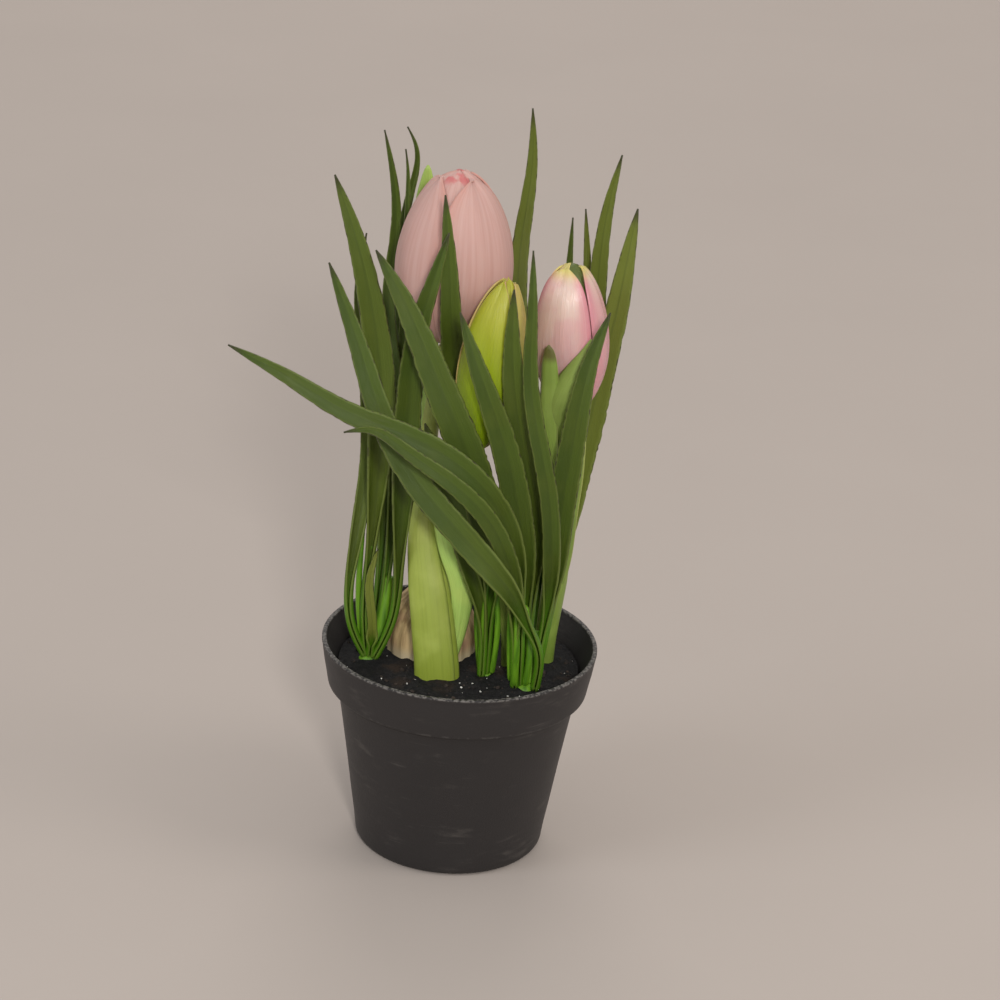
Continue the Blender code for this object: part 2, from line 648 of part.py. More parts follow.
FRONT_LEAVES = [
    ("arch_over", 8.2, 0.40, [(20, -16.5, 64), (19.5, -18.5, 82), (18.2, -19.5, 98), (16, -23, 112),
                              (11.5, -27, 126), (4.3, -31.5, 138.5), (-6.5, -34, 148.5),
                              (-20, -36, 156), (-38, -37.5, 163), (-57, -38, 173.5),
                              (-75.8, -37, 182.3)]),
    ("arch_under", 6.4, 0.40, [(18.7, -17.4, 64), (17.8, -20, 82), (16.8, -23, 97), (14.6, -27.5, 110),
                               (9.8, -32.5, 123.5), (2.5, -37, 135), (-7, -39.5, 144),
                               (-20, -41.5, 153.5), (-31, -43, 160), (-39, -44, 159)]),
    ("middle", 9.2, 0.46, [(21, -14, 64), (21, -10, 86), (17.5, -17.5, 117), (10, -25, 151),
                           (0, -28, 178), (-6, -26.5, 194)]),
    ("upright", 9.4, 0.46, [(22, -12.5, 64), (22.2, -7, 86), (20.5, -12.5, 122),
                            (13.4, -23, 161), (10.5, -25.8, 185), (10, -25, 202)]),
    ("slim", 5.8, 0.38, [(24, -15, 64), (27, -14.5, 85), (27.5, -20, 111), (24, -28, 141),
                         (17, -30.5, 174), (16, -30.5, 197), (15, -28, 216)]),
    ("right", 9.0, 0.44, [(25, -13.5, 64), (28, -11, 88), (29, -15.5, 118), (31.5, -22, 153),
                          (35, -22, 179), (40, -20.5, 195)]),
    ("crossing", 8.8, 0.40, [(25.3, -18.4, 64), (25.7, -23, 78.5), (21.2, -28, 91),
                             (15.4, -31.5, 103), (5.4, -33, 115.5), (-5.2, -33, 127),
                             (-15.9, -32, 139), (-27.5, -29.5, 157.5), (-36, -26, 179),
                             (-47, -23, 206)]),
]
RIGHT_LEAVES = [
    ("outer", 9.8, 0.42, [(28.5, 14.5, 64), (30, 12.5, 84), (31.5, 12.3, 106), (33.6, 12.3, 125),
                          (36.8, 12.3, 144), (39.4, 12.3, 163), (42.6, 12.3, 182), (45, 12.5, 202),
                          (47, 13, 218)]),
    ("tall", 7.0, 0.40, [(28, 16.5, 64), (29.5, 16.5, 86), (33, 18.5, 120), (36.5, 21.5, 156),
                         (36.5, 22, 194), (38, 21, 216), (41, 20, 233)]),
    ("rear", 4.4, 0.35, [(27, 17.3, 64), (27.5, 20, 100), (31, 25, 148), (33.5, 27.5, 182),
                         (32, 28, 202), (31, 27.5, 212)]),
    ("rear_short", 4.0, 0.35, [(26, 15, 64), (25, 16, 100), (26, 19.5, 149), (27, 21, 183),
                               (27, 21.5, 202), (27, 21, 211)]),
]


# Round stalks that stand in the tufts beside the leaves: half width and route
LEFT_STALKS = [
    (2.4, [(-27.5, -1, 64), (-25.5, 0.8, 78), (-24.6, 2.4, 92)]),
    (1.0, [(-31, -1, 64), (-33.5, 0, 80), (-33.8, 1, 100), (-33.4, 3.8, 120)]),
    (1.0, [(-29.5, 1, 64), (-30.5, 1.5, 84), (-30, -0.5, 104)]),
]
MIDDLE_STALKS = [
    (0.95, [(7.2, -7.6, 64), (5.2, -6.5, 80), (4.8, -3.2, 98)]),
    (0.95, [(7.2, -10.4, 64), (7.2, -12, 82), (8.2, -13.6, 104)]),
    (0.95, [(11, -10.5, 64), (12, -12.5, 82), (9.5, -13.8, 104)]),
    (0.95, [(11.1, -8.2, 64), (12.2, 0.5, 86), (12.4, 5.5, 104)]),
]
FRONT_STALKS = [
    (2.5, [(22.8, -14.4, 64), (24.2, -12.8, 74), (25, -12.6, 82)]),
    (1.1, [(17.4, -15, 64), (16.2, -17.5, 82), (15.8, -21.5, 104)]),
    (1.1, [(18.6, -18.4, 64), (18.4, -20.4, 80), (16.8, -21.4, 98)]),
    (1.1, [(22, -17.5, 64), (22.6, -17.4, 78), (20.5, -14.6, 92)]),
]
RIGHT_STALKS = [
    (1.0, [(29.8, 16, 64), (32.4, 15.6, 84), (34, 15.2, 108)]),
]


def tuft(name, spot, leaves, stalks, mat):
    """A tuft of strap leaves and stalks that grow from one short base in the soil."""
    base = root(name, spot, mat, top=TUFT_TOP, sides=12)
    blades = [strap_leaf(title, route, width, mat, opens=opens)
              for title, width, opens, route in leaves]
    blades += [tube("stalk", route, [half, half, 0.7 * half], mat, sides=7, count=6)
               for half, route in stalks]
    return join_pieces(base, blades)


def make_tufts():
    grass = material("strap_leaf", (0.062, 0.085, 0.018), 0.5)
    tuft("leaves_left", LEFT_TUFT_SPOT, LEFT_LEAVES, LEFT_STALKS, grass)
    tuft("leaves_middle", MIDDLE_TUFT_SPOT, MIDDLE_LEAVES, MIDDLE_STALKS, grass)
    tuft("leaves_front", FRONT_TUFT_SPOT, FRONT_LEAVES, FRONT_STALKS, grass)
    tuft("leaves_right", RIGHT_TUFT_SPOT, RIGHT_LEAVES, RIGHT_STALKS, grass)


clear_scene()
make_pot()
make_soil()
make_bulb()
make_pink_stem()
make_pink_flower()
make_yellow_stem()
make_yellow_flower()
make_blush_stem()
make_blush_flower()
make_tufts()
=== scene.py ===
import math
import random

import bmesh
import bpy
import numpy as np
from mathutils import Matrix, Vector, noise


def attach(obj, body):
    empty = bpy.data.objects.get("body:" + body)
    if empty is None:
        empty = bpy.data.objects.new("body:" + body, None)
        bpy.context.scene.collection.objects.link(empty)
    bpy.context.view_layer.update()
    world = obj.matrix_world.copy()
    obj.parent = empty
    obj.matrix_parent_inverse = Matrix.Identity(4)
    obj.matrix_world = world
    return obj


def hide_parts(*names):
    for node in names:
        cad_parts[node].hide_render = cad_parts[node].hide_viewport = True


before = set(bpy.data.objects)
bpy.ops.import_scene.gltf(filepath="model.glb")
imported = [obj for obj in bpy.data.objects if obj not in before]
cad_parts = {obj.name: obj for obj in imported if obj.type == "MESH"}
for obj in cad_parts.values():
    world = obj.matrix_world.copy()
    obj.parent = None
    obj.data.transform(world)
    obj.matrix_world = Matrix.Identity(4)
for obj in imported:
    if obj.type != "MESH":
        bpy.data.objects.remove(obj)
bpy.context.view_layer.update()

MM = 0.001


# The studio: a pale warm-grey paper sweep under the plant, a soft lamp beside the camera, a
# warm fill from the right, a cool one from the left, and a wide lamp over the backdrop. The
# camera is 1.12 m away, looks 23 degrees down and is rolled, so the pot leans in the picture.
CAMERA_TARGET = Vector((0.0100, 0.0, 0.1214))
CAMERA_DISTANCE = 1.1234
CAMERA_PITCH = math.radians(23.07)
CAMERA_ROLL = math.radians(-3.87)
CAMERA_LENS = 126.0

forward = Vector((0.0, math.cos(CAMERA_PITCH), -math.sin(CAMERA_PITCH)))
level_right = Vector((1.0, 0.0, 0.0))
level_up = level_right.cross(forward)
camera_right = level_right * math.cos(CAMERA_ROLL) - level_up * math.sin(CAMERA_ROLL)
camera_up = level_right * math.sin(CAMERA_ROLL) + level_up * math.cos(CAMERA_ROLL)
camera = bpy.data.objects.new("camera", bpy.data.cameras.new("camera"))
camera.data.lens = CAMERA_LENS
camera.data.sensor_width = 36.0
camera.matrix_world = (Matrix.Translation(CAMERA_TARGET - forward * CAMERA_DISTANCE)
                       @ Matrix((camera_right, camera_up, -forward)).transposed().to_4x4())
bpy.context.scene.collection.objects.link(camera)
bpy.context.scene.camera = camera
bpy.context.scene.view_settings.view_transform = "Standard"


def add_node(tree, kind, settings=None, **inputs):
    """A shader node with its settings and inputs; a socket is linked, a value is set."""
    made = tree.nodes.new("ShaderNode" + kind)
    for key, value in (settings or {}).items():
        setattr(made, key, value)
    for key, value in inputs.items():
        socket = made.inputs[key.replace("_", " ")]
        if isinstance(value, bpy.types.NodeSocket):
            tree.links.new(value, socket)
        else:
            socket.default_value = value
    return made


def set_or_link(tree, socket, value):
    """Feed a socket from another socket, or set it to a colour or a number."""
    if isinstance(value, bpy.types.NodeSocket):
        tree.links.new(value, socket)
    elif isinstance(value, tuple):
        socket.default_value = (*value, 1.0)
    else:
        socket.default_value = value


def blend_colours(tree, share, first, second):
    """The second colour laid over the first by a share."""
    made = tree.nodes.new("ShaderNodeMix")
    made.data_type = "RGBA"
    for socket, value in ((made.inputs[0], share), (made.inputs[6], first),
                          (made.inputs[7], second)):
        set_or_link(tree, socket, value)
    return made.outputs[2]


def work_out(tree, operation, first, second=0.0, clamp=False):
    """The result of a Math node."""
    made = add_node(tree, "Math", {"operation": operation, "use_clamp": clamp})
    set_or_link(tree, made.inputs[0], first)
    set_or_link(tree, made.inputs[1], second)
    return made.outputs[0]


def times(tree, first, second):
    return work_out(tree, "MULTIPLY", first, second)


def rise_between(tree, value, low, high):
    """0 below low, 1 above high and smooth between; low may be the larger one."""
    made = add_node(tree, "MapRange", {"interpolation_type": "SMOOTHSTEP"}, Value=value)
    made.inputs["From Min"].default_value = min(low, high)
    made.inputs["From Max"].default_value = max(low, high)
    made.inputs["To Min"].default_value = 0.0 if low < high else 1.0
    made.inputs["To Max"].default_value = 1.0 if low < high else 0.0
    return made.outputs[0]


def grain(tree, where, scale, detail=2.0, stretch=(1.0, 1.0, 1.0), rough=0.5):
    """Noise read at a place, squeezed or drawn out along each axis."""
    placed = add_node(tree, "Mapping", Vector=where, Scale=stretch).outputs[0]
    return add_node(tree, "TexNoise", Vector=placed, Scale=scale, Detail=detail,
                    Roughness=rough).outputs["Fac"]


def new_finish(name, roughness):
    """A material with its tree, its shader and its Texture Coordinate node."""
    mat = bpy.data.materials.new(name)
    mat.use_nodes = True
    tree = mat.node_tree
    shader = tree.nodes["Principled BSDF"]
    shader.inputs["Roughness"].default_value = roughness
    return mat, tree, shader, add_node(tree, "TexCoord")


def bump(tree, shader, height, depth, strength=1.0):
    """Small relief in the shading, its depth in metres."""
    made = add_node(tree, "Bump", Height=height, Strength=strength, Distance=depth)
    tree.links.new(made.outputs["Normal"], shader.inputs["Normal"])


SWEEP_LONG = 4.2
SWEEP_WIDE = 6.0
SWEEP_FRONT = -1.4
BEND_START = 3.0
BEND_RADIUS = 0.7
sweep_mesh = bmesh.new()
bmesh.ops.create_grid(sweep_mesh, x_segments=4, y_segments=48, size=0.5)
for vert in sweep_mesh.verts:
    reach = (vert.co.y + 0.5) * SWEEP_LONG
    turned = min(max((reach - BEND_START) / BEND_RADIUS, 0.0), math.pi / 2.0)
    beyond = max(reach - BEND_START - BEND_RADIUS * math.pi / 2.0, 0.0)
    vert.co = (vert.co.x * SWEEP_WIDE,
               SWEEP_FRONT + min(reach, BEND_START) + BEND_RADIUS * math.sin(turned),
               BEND_RADIUS * (1.0 - math.cos(turned)) + beyond)
floor = bpy.data.objects.new("paper_sweep", bpy.data.meshes.new("paper_sweep"))
sweep_mesh.to_mesh(floor.data)
sweep_mesh.free()
floor.data.shade_smooth()
paper, tree, shader, coord = new_finish("warm_grey_paper", 0.9)
shader.inputs["Specular IOR Level"].default_value = 0.1
marks = grain(tree, coord.outputs["Object"], 9.0, 5.0)
tree.links.new(blend_colours(tree, marks, (0.418, 0.370, 0.338), (0.440, 0.390, 0.356)),
               shader.inputs["Base Color"])
floor.data.materials.append(paper)
bpy.context.scene.collection.objects.link(floor)


def soft_lamp(name, place, aim, size, watts, colour):
    """A round area lamp turned towards a point."""
    lamp = bpy.data.lights.new(name, "AREA")
    lamp.shape = "DISK"
    lamp.size = size
    lamp.energy = watts
    lamp.color = colour
    held = bpy.data.objects.new(name, lamp)
    held.location = place
    held.rotation_euler = (Vector(aim) - Vector(place)).to_track_quat("-Z", "Y").to_euler()
    bpy.context.scene.collection.objects.link(held)


soft_lamp("lamp_beside_camera", (0.22, -1.65, 0.95), (0.0, 0.0, 0.12), 0.22, 17.0,
          (1.0, 0.97, 0.93))
soft_lamp("lamp_right", (1.1, -0.3, 1.1), (0.0, 0.1, 0.10), 0.7, 4.5, (1.0, 0.95, 0.90))
soft_lamp("lamp_left", (-1.2, -0.7, 0.9), (0.0, 0.0, 0.12), 0.7, 5.5, (0.92, 0.96, 1.0))
soft_lamp("lamp_behind", (0.0, 1.6, 1.7), (0.0, 1.2, 0.0), 1.4, 14.0, (1.0, 0.96, 0.93))
world = bpy.data.worlds.new("room")
world.use_nodes = True
world.node_tree.nodes["Background"].inputs["Color"].default_value = (1.0, 0.98, 0.96, 1.0)
world.node_tree.nodes["Background"].inputs["Strength"].default_value = 0.56
bpy.context.scene.world = world


# The pot: a thin round tapered plant pot, moulded in matt black plastic, with a rim band
# over a step and six drain holes in its floor. The rim's edge is worn pale and rough, and
# the band and the wall carry dusty smears and fine scratches from handling.
POT_RIM = 45.0
POT_TALL = 71.0
POT_STEP = 56.0
POT_BASE = 30.8
POT_FLOOR = 1.6
BASE_ROUND = 3.0
STEP_ROUND = 0.6
LIP_ROUND = 0.4
DRAIN_COUNT = 6
DRAIN_RADIUS = 3.0
DRAIN_CIRCLE = 22.0


def turned_shape(bm, outline, steps):
    """Spin an outline of (radius, height) points, in millimetres, round the upright axis."""
    verts = [bm.verts.new((radius, 0.0, height)) for radius, height in outline]
    edges = [bm.edges.new(pair) for pair in zip(verts, verts[1:])]
    bmesh.ops.spin(bm, geom=verts + edges, cent=(0, 0, 0), axis=(0, 0, 1),
                   angle=2.0 * math.pi, steps=steps, use_merge=True)
    bmesh.ops.remove_doubles(bm, verts=bm.verts, dist=0.001)
    bmesh.ops.recalc_face_normals(bm, faces=bm.faces)


def quarter(middle, radius, start, end, count=4):
    """Points of a small rounding between two angles in degrees."""
    return [(middle[0] + radius * math.cos(math.radians(start + (end - start) * k / count)),
             middle[1] + radius * math.sin(math.radians(start + (end - start) * k / count)))
            for k in range(count + 1)]


def shown(name, bm, mats, nodes=(), smooth=50.0):
    """Make a mesh in millimetres into a piece of the plant, in place of its CAD nodes."""
    bmesh.ops.scale(bm, vec=(MM, MM, MM), verts=bm.verts)
    mesh = bpy.data.meshes.new(name)
    bm.to_mesh(mesh)
    bm.free()
    mesh.shade_smooth()
    mesh.set_sharp_from_angle(angle=math.radians(smooth))
    for mat in mats:
        mesh.materials.append(mat)
    piece = bpy.data.objects.new(name, mesh)
    bpy.context.scene.collection.objects.link(piece)
    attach(piece, "root")
    if nodes:
        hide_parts(*nodes)
    return piece


def bake_modifiers(piece):
    """Keep what the modifiers made, and drop them."""
    bpy.context.view_layer.update()
    seen = piece.evaluated_get(bpy.context.evaluated_depsgraph_get())
    made = bpy.data.meshes.new_from_object(seen)
    piece.modifiers.clear()
    piece.data = made


pot_mesh = bmesh.new()
pot_outline = [(0.0, 0.0), (20.0, 0.0), (POT_BASE - BASE_ROUND, 0.0)]
pot_outline += quarter((POT_BASE - 2.7, BASE_ROUND), BASE_ROUND, -80.0, -8.0, 5)
pot_outline += [(31.6, 7.0), (33.2, 17.0), (35.0, 29.0), (37.0, 41.5), (39.0, 53.5)]
pot_outline += [(39.4, 55.3), (39.75, 55.85), (40.3, POT_STEP), (42.0, POT_STEP)]
pot_outline += quarter((42.0, POT_STEP + STEP_ROUND), STEP_ROUND, -90.0, 0.0, 3)
pot_outline += [(43.2, 60.0), (44.0, 64.0), (44.7, 68.5)]
pot_outline += [(44.85, 69.7), (POT_RIM, 70.1), (POT_RIM, 70.6)]
pot_outline += quarter((POT_RIM - LIP_ROUND, POT_TALL - LIP_ROUND), LIP_ROUND, 20.0, 90.0, 3)
pot_outline += [(43.9, POT_TALL)]
pot_outline += quarter((43.9, POT_TALL - LIP_ROUND), LIP_ROUND, 110.0, 180.0, 3)
pot_outline += [(43.2, 69.6), (42.0, 66.8), (40.6, 63.0), (39.2, 59.0), (38.3, 55.9)]
pot_outline += [(36.4, 44.0), (34.3, 30.0), (32.1, 16.0), (30.2, 3.4), (29.2, POT_FLOOR)]
pot_outline += [(20.0, POT_FLOOR), (0.0, POT_FLOOR)]
turned_shape(pot_mesh, pot_outline, 144)
pot = shown("moulded_pot", pot_mesh, [], ["pot"])
drill_mesh = bmesh.new()
for k in range(DRAIN_COUNT):
    turn = math.radians(360.0 / DRAIN_COUNT * (k + 0.5))
    bmesh.ops.create_cone(drill_mesh, cap_ends=True, segments=32, radius1=DRAIN_RADIUS * MM,
                          radius2=DRAIN_RADIUS * MM, depth=6.0 * MM,
                          matrix=Matrix.Translation((DRAIN_CIRCLE * MM * math.cos(turn),
                                                     DRAIN_CIRCLE * MM * math.sin(turn), 0.0)))
drill = bpy.data.objects.new("drill", bpy.data.meshes.new("drill"))
drill_mesh.to_mesh(drill.data)
drill_mesh.free()
bpy.context.scene.collection.objects.link(drill)
drain_cut = pot.modifiers.new("drains", "BOOLEAN")
drain_cut.operation = "DIFFERENCE"
drain_cut.object = drill
drain_cut.solver = "EXACT"
bake_modifiers(pot)
bpy.data.objects.remove(drill, do_unlink=True)
pot.data.shade_smooth()
pot.data.set_sharp_from_angle(angle=math.radians(38.0))

black, tree, shader, coord = new_finish("black_plastic", 0.5)
shader.inputs["Specular IOR Level"].default_value = 0.42
here = coord.outputs["Object"]
height = add_node(tree, "SeparateXYZ", Vector=here).outputs["Z"]
cloud = grain(tree, here, 55.0, 6.0, (1.0, 1.0, 1.7), 0.62)
smear = times(tree, rise_between(tree, cloud, 0.50, 0.74),
              rise_between(tree, grain(tree, here, 420.0, 4.0, (0.35, 0.35, 1.6)), 0.40, 0.72))
scratch = rise_between(tree, grain(tree, here, 160.0, 2.0, (0.25, 0.25, 6.0)), 0.66, 0.74)
scratch = times(tree, scratch, rise_between(tree, cloud, 0.45, 0.6))
plastic = blend_colours(tree, grain(tree, here, 30.0, 3.0), (0.0150, 0.0132, 0.0134),
                        (0.0215, 0.0190, 0.0188))
plastic = blend_colours(tree, times(tree, smear, 0.20), plastic, (0.20, 0.18, 0.16))
plastic = blend_colours(tree, times(tree, scratch, 0.10), plastic, (0.26, 0.24, 0.22))
lip = times(tree, rise_between(tree, height, 70.15 * MM, 70.75 * MM),
            rise_between(tree, grain(tree, here, 900.0, 5.0), 0.40, 0.60))
step_edge = times(tree, rise_between(tree, height, 55.6 * MM, 56.1 * MM),
                  rise_between(tree, height, 57.2 * MM, 56.6 * MM))
step_edge = times(tree, step_edge,
                  rise_between(tree, grain(tree, here, 500.0, 4.0), 0.45, 0.62))
wear = work_out(tree, "ADD", times(tree, lip, 0.60), times(tree, step_edge, 0.12), True)
plastic = blend_colours(tree, wear, plastic, (0.22, 0.205, 0.19))
tree.links.new(plastic, shader.inputs["Base Color"])
rough = work_out(tree, "ADD", 0.44, times(tree, cloud, 0.18))
tree.links.new(work_out(tree, "ADD", rough, times(tree, wear, 0.3), True),
               shader.inputs["Roughness"])
bump(tree, shader, work_out(tree, "ADD", grain(tree, here, 1500.0, 3.0), times(tree, lip, 2.0)),
     0.00006)
pot.data.materials.clear()
pot.data.materials.append(black)


# The soil: dark fine growing medium filled to a little under the rim. It is lumpy, a bit
# lower at the wall, with brown crumbs and a few white mineral grains lying on it.
SOIL_TOP = 64.0
SOIL_ROUND = 39.3
SOIL_DROP = 1.6
SOIL_WALL = 39.8
# Radius and height where the hidden side of the soil passes the pot's step and meets its floor
SOIL_SIDE = ((38.2, 55.5), (29.6, 3.0), (28.6, 1.9))
dice = random.Random(11)
noise.seed_set(11)


def soil_level(x, y):
    """Height of the lumpy soil, in millimetres."""
    lumps = (0.35 * math.sin(0.55 * x + 1.0) * math.sin(0.47 * y)
             + 0.15 * math.sin(0.9 * x - 0.7 * y + 2.0))
    fine = 0.22 * noise.fractal(Vector((x * 0.55, y * 0.55, 3.0)), 0.8, 2.0, 4)
    return SOIL_TOP + lumps + fine - SOIL_DROP * (math.hypot(x, y) / SOIL_WALL) ** 4


soil_mesh = bmesh.new()
bmesh.ops.create_grid(soil_mesh, x_segments=150, y_segments=150, size=SOIL_ROUND + 0.6)
outside = [v for v in soil_mesh.verts if math.hypot(v.co.x, v.co.y) > SOIL_ROUND + 0.45]
bmesh.ops.delete(soil_mesh, geom=outside, context="VERTS")
for vert in soil_mesh.verts:
    reach = math.hypot(vert.co.x, vert.co.y)
    if reach > SOIL_ROUND or any(e.is_boundary for e in vert.link_edges):
        vert.co *= SOIL_ROUND / reach
    vert.co.z = soil_level(vert.co.x, vert.co.y)
for radius, low in SOIL_SIDE:
    rim_edges = [e for e in soil_mesh.edges if e.is_boundary]
    spread = bmesh.ops.extrude_edge_only(soil_mesh, edges=rim_edges)["geom"]
    for vert in [g for g in spread if isinstance(g, bmesh.types.BMVert)]:
        reach = math.hypot(vert.co.x, vert.co.y)
        vert.co = (vert.co.x * radius / reach, vert.co.y * radius / reach, low)
bmesh.ops.contextual_create(soil_mesh, geom=[e for e in soil_mesh.edges if e.is_boundary])
bmesh.ops.recalc_face_normals(soil_mesh, faces=soil_mesh.faces)
earth, tree, shader, coord = new_finish("dark_soil", 0.95)
shader.inputs["Specular IOR Level"].default_value = 0.2
here = coord.outputs["Object"]
lumps = grain(tree, here, 700.0, 8.0, rough=0.7)
brown = rise_between(tree, grain(tree, here, 90.0, 4.0), 0.52, 0.68)
colour = blend_colours(tree, rise_between(tree, lumps, 0.35, 0.7), (0.0080, 0.0078, 0.0083),
                       (0.021, 0.020, 0.0205))
colour = blend_colours(tree, times(tree, brown, 0.55), colour, (0.045, 0.028, 0.018))
tree.links.new(colour, shader.inputs["Base Color"])
bump(tree, shader, lumps, 0.0006)
shown("soil_bed", soil_mesh, [earth], ["soil"])

# The place of each plant's foot on the soil, and the radius round it that stays clear
PLANT_SPOTS = ((-9.6, 10.0, 16.2), (-6.5, -12.8, 8.0), (15.5, -1.5, 2.4), (27.6, 5.5, 4.2),
               (-29.0, -1.5, 4.8), (9.0, -9.0, 4.2), (21.5, -15.5, 5.8), (27.5, 15.5, 3.8))


def scatter(count, smallest, largest, sink):
    """Small rough lumps strewn over the soil, clear of the plants."""
    bm = bmesh.new()
    while count:
        turn, out = dice.uniform(0.0, 2.0 * math.pi), SOIL_ROUND * math.sqrt(dice.random()) - 1.0
        x, y = out * math.cos(turn), out * math.sin(turn)
        size = smallest + (largest - smallest) * dice.random() ** 2.5
        if any(math.hypot(x - px, y - py) < free for px, py, free in PLANT_SPOTS):
            continue
        place = Matrix.LocRotScale(
            Vector((x, y, soil_level(x, y) + size * sink)),
            Matrix.Rotation(dice.uniform(0, 6.28), 3, Vector((dice.random(), 1, dice.random()))),
            Vector((size, size * dice.uniform(0.6, 1.0), size * dice.uniform(0.5, 0.9))))
        lump = bmesh.ops.create_icosphere(bm, subdivisions=1, radius=1.0, matrix=place)["verts"]
        for vert in lump:
            vert.co += 0.25 * size * noise.noise_vector(vert.co * 2.3 / size)
        count -= 1
    return bm


crumb, tree, shader, coord = new_finish("brown_crumbs", 0.95)
shade = grain(tree, coord.outputs["Object"], 260.0, 3.0)
tree.links.new(blend_colours(tree, rise_between(tree, shade, 0.4, 0.65), (0.010, 0.008, 0.008),
                             (0.038, 0.026, 0.019)), shader.inputs["Base Color"])
shown("soil_crumbs", scatter(300, 0.25, 1.0, 0.2), [crumb])
white, tree, shader, coord = new_finish("white_grains", 0.7)
tree.links.new(blend_colours(tree, grain(tree, coord.outputs["Object"], 900.0),
                             (0.50, 0.48, 0.45), (0.85, 0.84, 0.80)), shader.inputs["Base Color"])
shown("white_grains", scatter(64, 0.16, 0.5, 0.55), [white])


# The bulb: a squat pear shape in a dry papery brown skin with fine upright ribs, half out
# of the soil behind the pink flower's wrapped leaf.
BULB_PLACE = (-9.6, 10.0)
BULB_OUTLINE = [(0.0, 44.0), (3.5, 44.0), (9.0, 46.0), (13.2, 50.5), (15.1, 57.0), (15.4, 64.0),
                (15.2, 70.5), (13.5, 76.5), (9.8, 82.0), (5.2, 86.5), (2.2, 89.2), (1.0, 90.0),
                (0.0, 90.0)]


def smooth_through(points, count):
    """Evenly spread points on a smooth curve through the given ones."""
    pts = np.array(points, float)
    steps = np.linalg.norm(np.diff(pts, axis=0), axis=1)
    knots = np.concatenate([[0.0], np.cumsum(steps)])
    n = len(pts)
    system, right = np.eye(n), np.zeros((n, pts.shape[1]))
    for i in range(1, n - 1):
        before, after = steps[i - 1], steps[i]
        system[i, i - 1:i + 2] = before, 2.0 * (before + after), after
        right[i] = 6.0 * ((pts[i + 1] - pts[i]) / after - (pts[i] - pts[i - 1]) / before)
    curve = np.linalg.solve(system, right)
    found = []
    for t in np.linspace(0.0, knots[-1], count):
        i = min(int(np.searchsorted(knots, t, side="right")) - 1, n - 2)
        h, a, b = steps[i], knots[i + 1] - t, t - knots[i]
        found.append((curve[i] * a ** 3 + curve[i + 1] * b ** 3) / (6.0 * h)
                     + (pts[i] / h - curve[i] * h / 6.0) * a
                     + (pts[i + 1] / h - curve[i + 1] * h / 6.0) * b)
    return np.array(found)


bulb_mesh = bmesh.new()
inner_line = [tuple(p) for p in smooth_through(BULB_OUTLINE[1:-1], 40)]
turned_shape(bulb_mesh, [BULB_OUTLINE[0]] + inner_line + [BULB_OUTLINE[-1]], 160)
for vert in bulb_mesh.verts:
    out = math.hypot(vert.co.x, vert.co.y)
    if out > 0.5:
        turn = math.atan2(vert.co.y, vert.co.x)
        dent = Vector((out * math.cos(turn), out * math.sin(turn), vert.co.z)) * 0.16
        rib = (0.16 * math.sin(23.0 * turn + 0.12 * vert.co.z)
               + 0.22 * noise.noise(Vector((3.5 * turn, 0.5, vert.co.z * 0.05)))
               + 0.30 * noise.noise(dent))
        grow = 1.0 - (0.32 - rib) / out
        vert.co.x *= grow
        vert.co.y *= grow
    vert.co.x += BULB_PLACE[0]
    vert.co.y += BULB_PLACE[1]
skin, tree, shader, coord = new_finish("papery_skin", 0.62)
here = add_node(tree, "Mapping", Vector=coord.outputs["Object"],
                Location=(-BULB_PLACE[0] * MM, -BULB_PLACE[1] * MM, 0.0)).outputs[0]
streak = grain(tree, here, 420.0, 5.0, (1.0, 1.0, 0.09), 0.6)
patch = grain(tree, here, 75.0, 4.0, (1.0, 1.0, 0.6))
colour = blend_colours(tree, rise_between(tree, streak, 0.34, 0.66), (0.260, 0.160, 0.070),
                       (0.560, 0.400, 0.200))
colour = blend_colours(tree, rise_between(tree, patch, 0.52, 0.68), colour,
                       (0.400, 0.230, 0.150))
height = add_node(tree, "SeparateXYZ", Vector=here).outputs["Z"]
colour = blend_colours(tree, rise_between(tree, height, 69.0 * MM, 64.0 * MM), colour,
                       (0.500, 0.410, 0.260))
tree.links.new(colour, shader.inputs["Base Color"])
bump(tree, shader, streak, 0.0004)
shown("papery_bulb", bulb_mesh, [skin], ["bulb"])


# The pink flower's stem: a round fleshy stalk wrapped low down by a broad yellow-green leaf,
# whose free edge overlaps at the front right. A lighter leaf stands beside it, and a third
# one rises behind the flower.
PINK_STEM = [(-6.5, -12.8, 52.0), (-6.5, -12.8, 64.0), (-8, -11.5, 76), (-10.5, -9, 92),
             (-13, -6, 106), (-14, -4, 116), (-14, 0, 128), (-14, 4, 139), (-12, 9, 158),
             (-10.2, 11.4, 168.6)]


def lay_sheet(bm, columns, rows, place, label=None):
    """A grid whose points are put in place by their shares across and along the sheet."""
    flat = bm.loops.layers.uv.verify()
    tint = bm.verts.layers.float.get("tint") or bm.verts.layers.float.new("tint")
    made = bmesh.ops.create_grid(bm, x_segments=columns, y_segments=rows, size=0.5)["verts"]
    share = {v: (v.co.x + 0.5, v.co.y + 0.5) for v in made}
    for face in {f for v in made for f in v.link_faces}:
        for loop in face.loops:
            loop[flat].uv = share[loop.vert]
    for vert in made:
        vert.co = place(*share[vert])
        if label is not None:
            vert[tint] = label
    return made


def along_route(points, rows, face_low, face_high):
    """Middle, side and face of a leaf at each row of its grid."""
    middle = smooth_through(points, rows + 1)
    run = np.gradient(middle, axis=0)
    run /= np.linalg.norm(run, axis=1)[:, None]
    share = np.linspace(0.0, 1.0, rows + 1)[:, None]
    facing = np.array(face_low) * (1.0 - share) + np.array(face_high) * share
    side = np.cross(facing, run)
    side /= np.linalg.norm(side, axis=1)[:, None]
    face = np.cross(run, side)
    return middle, side, face


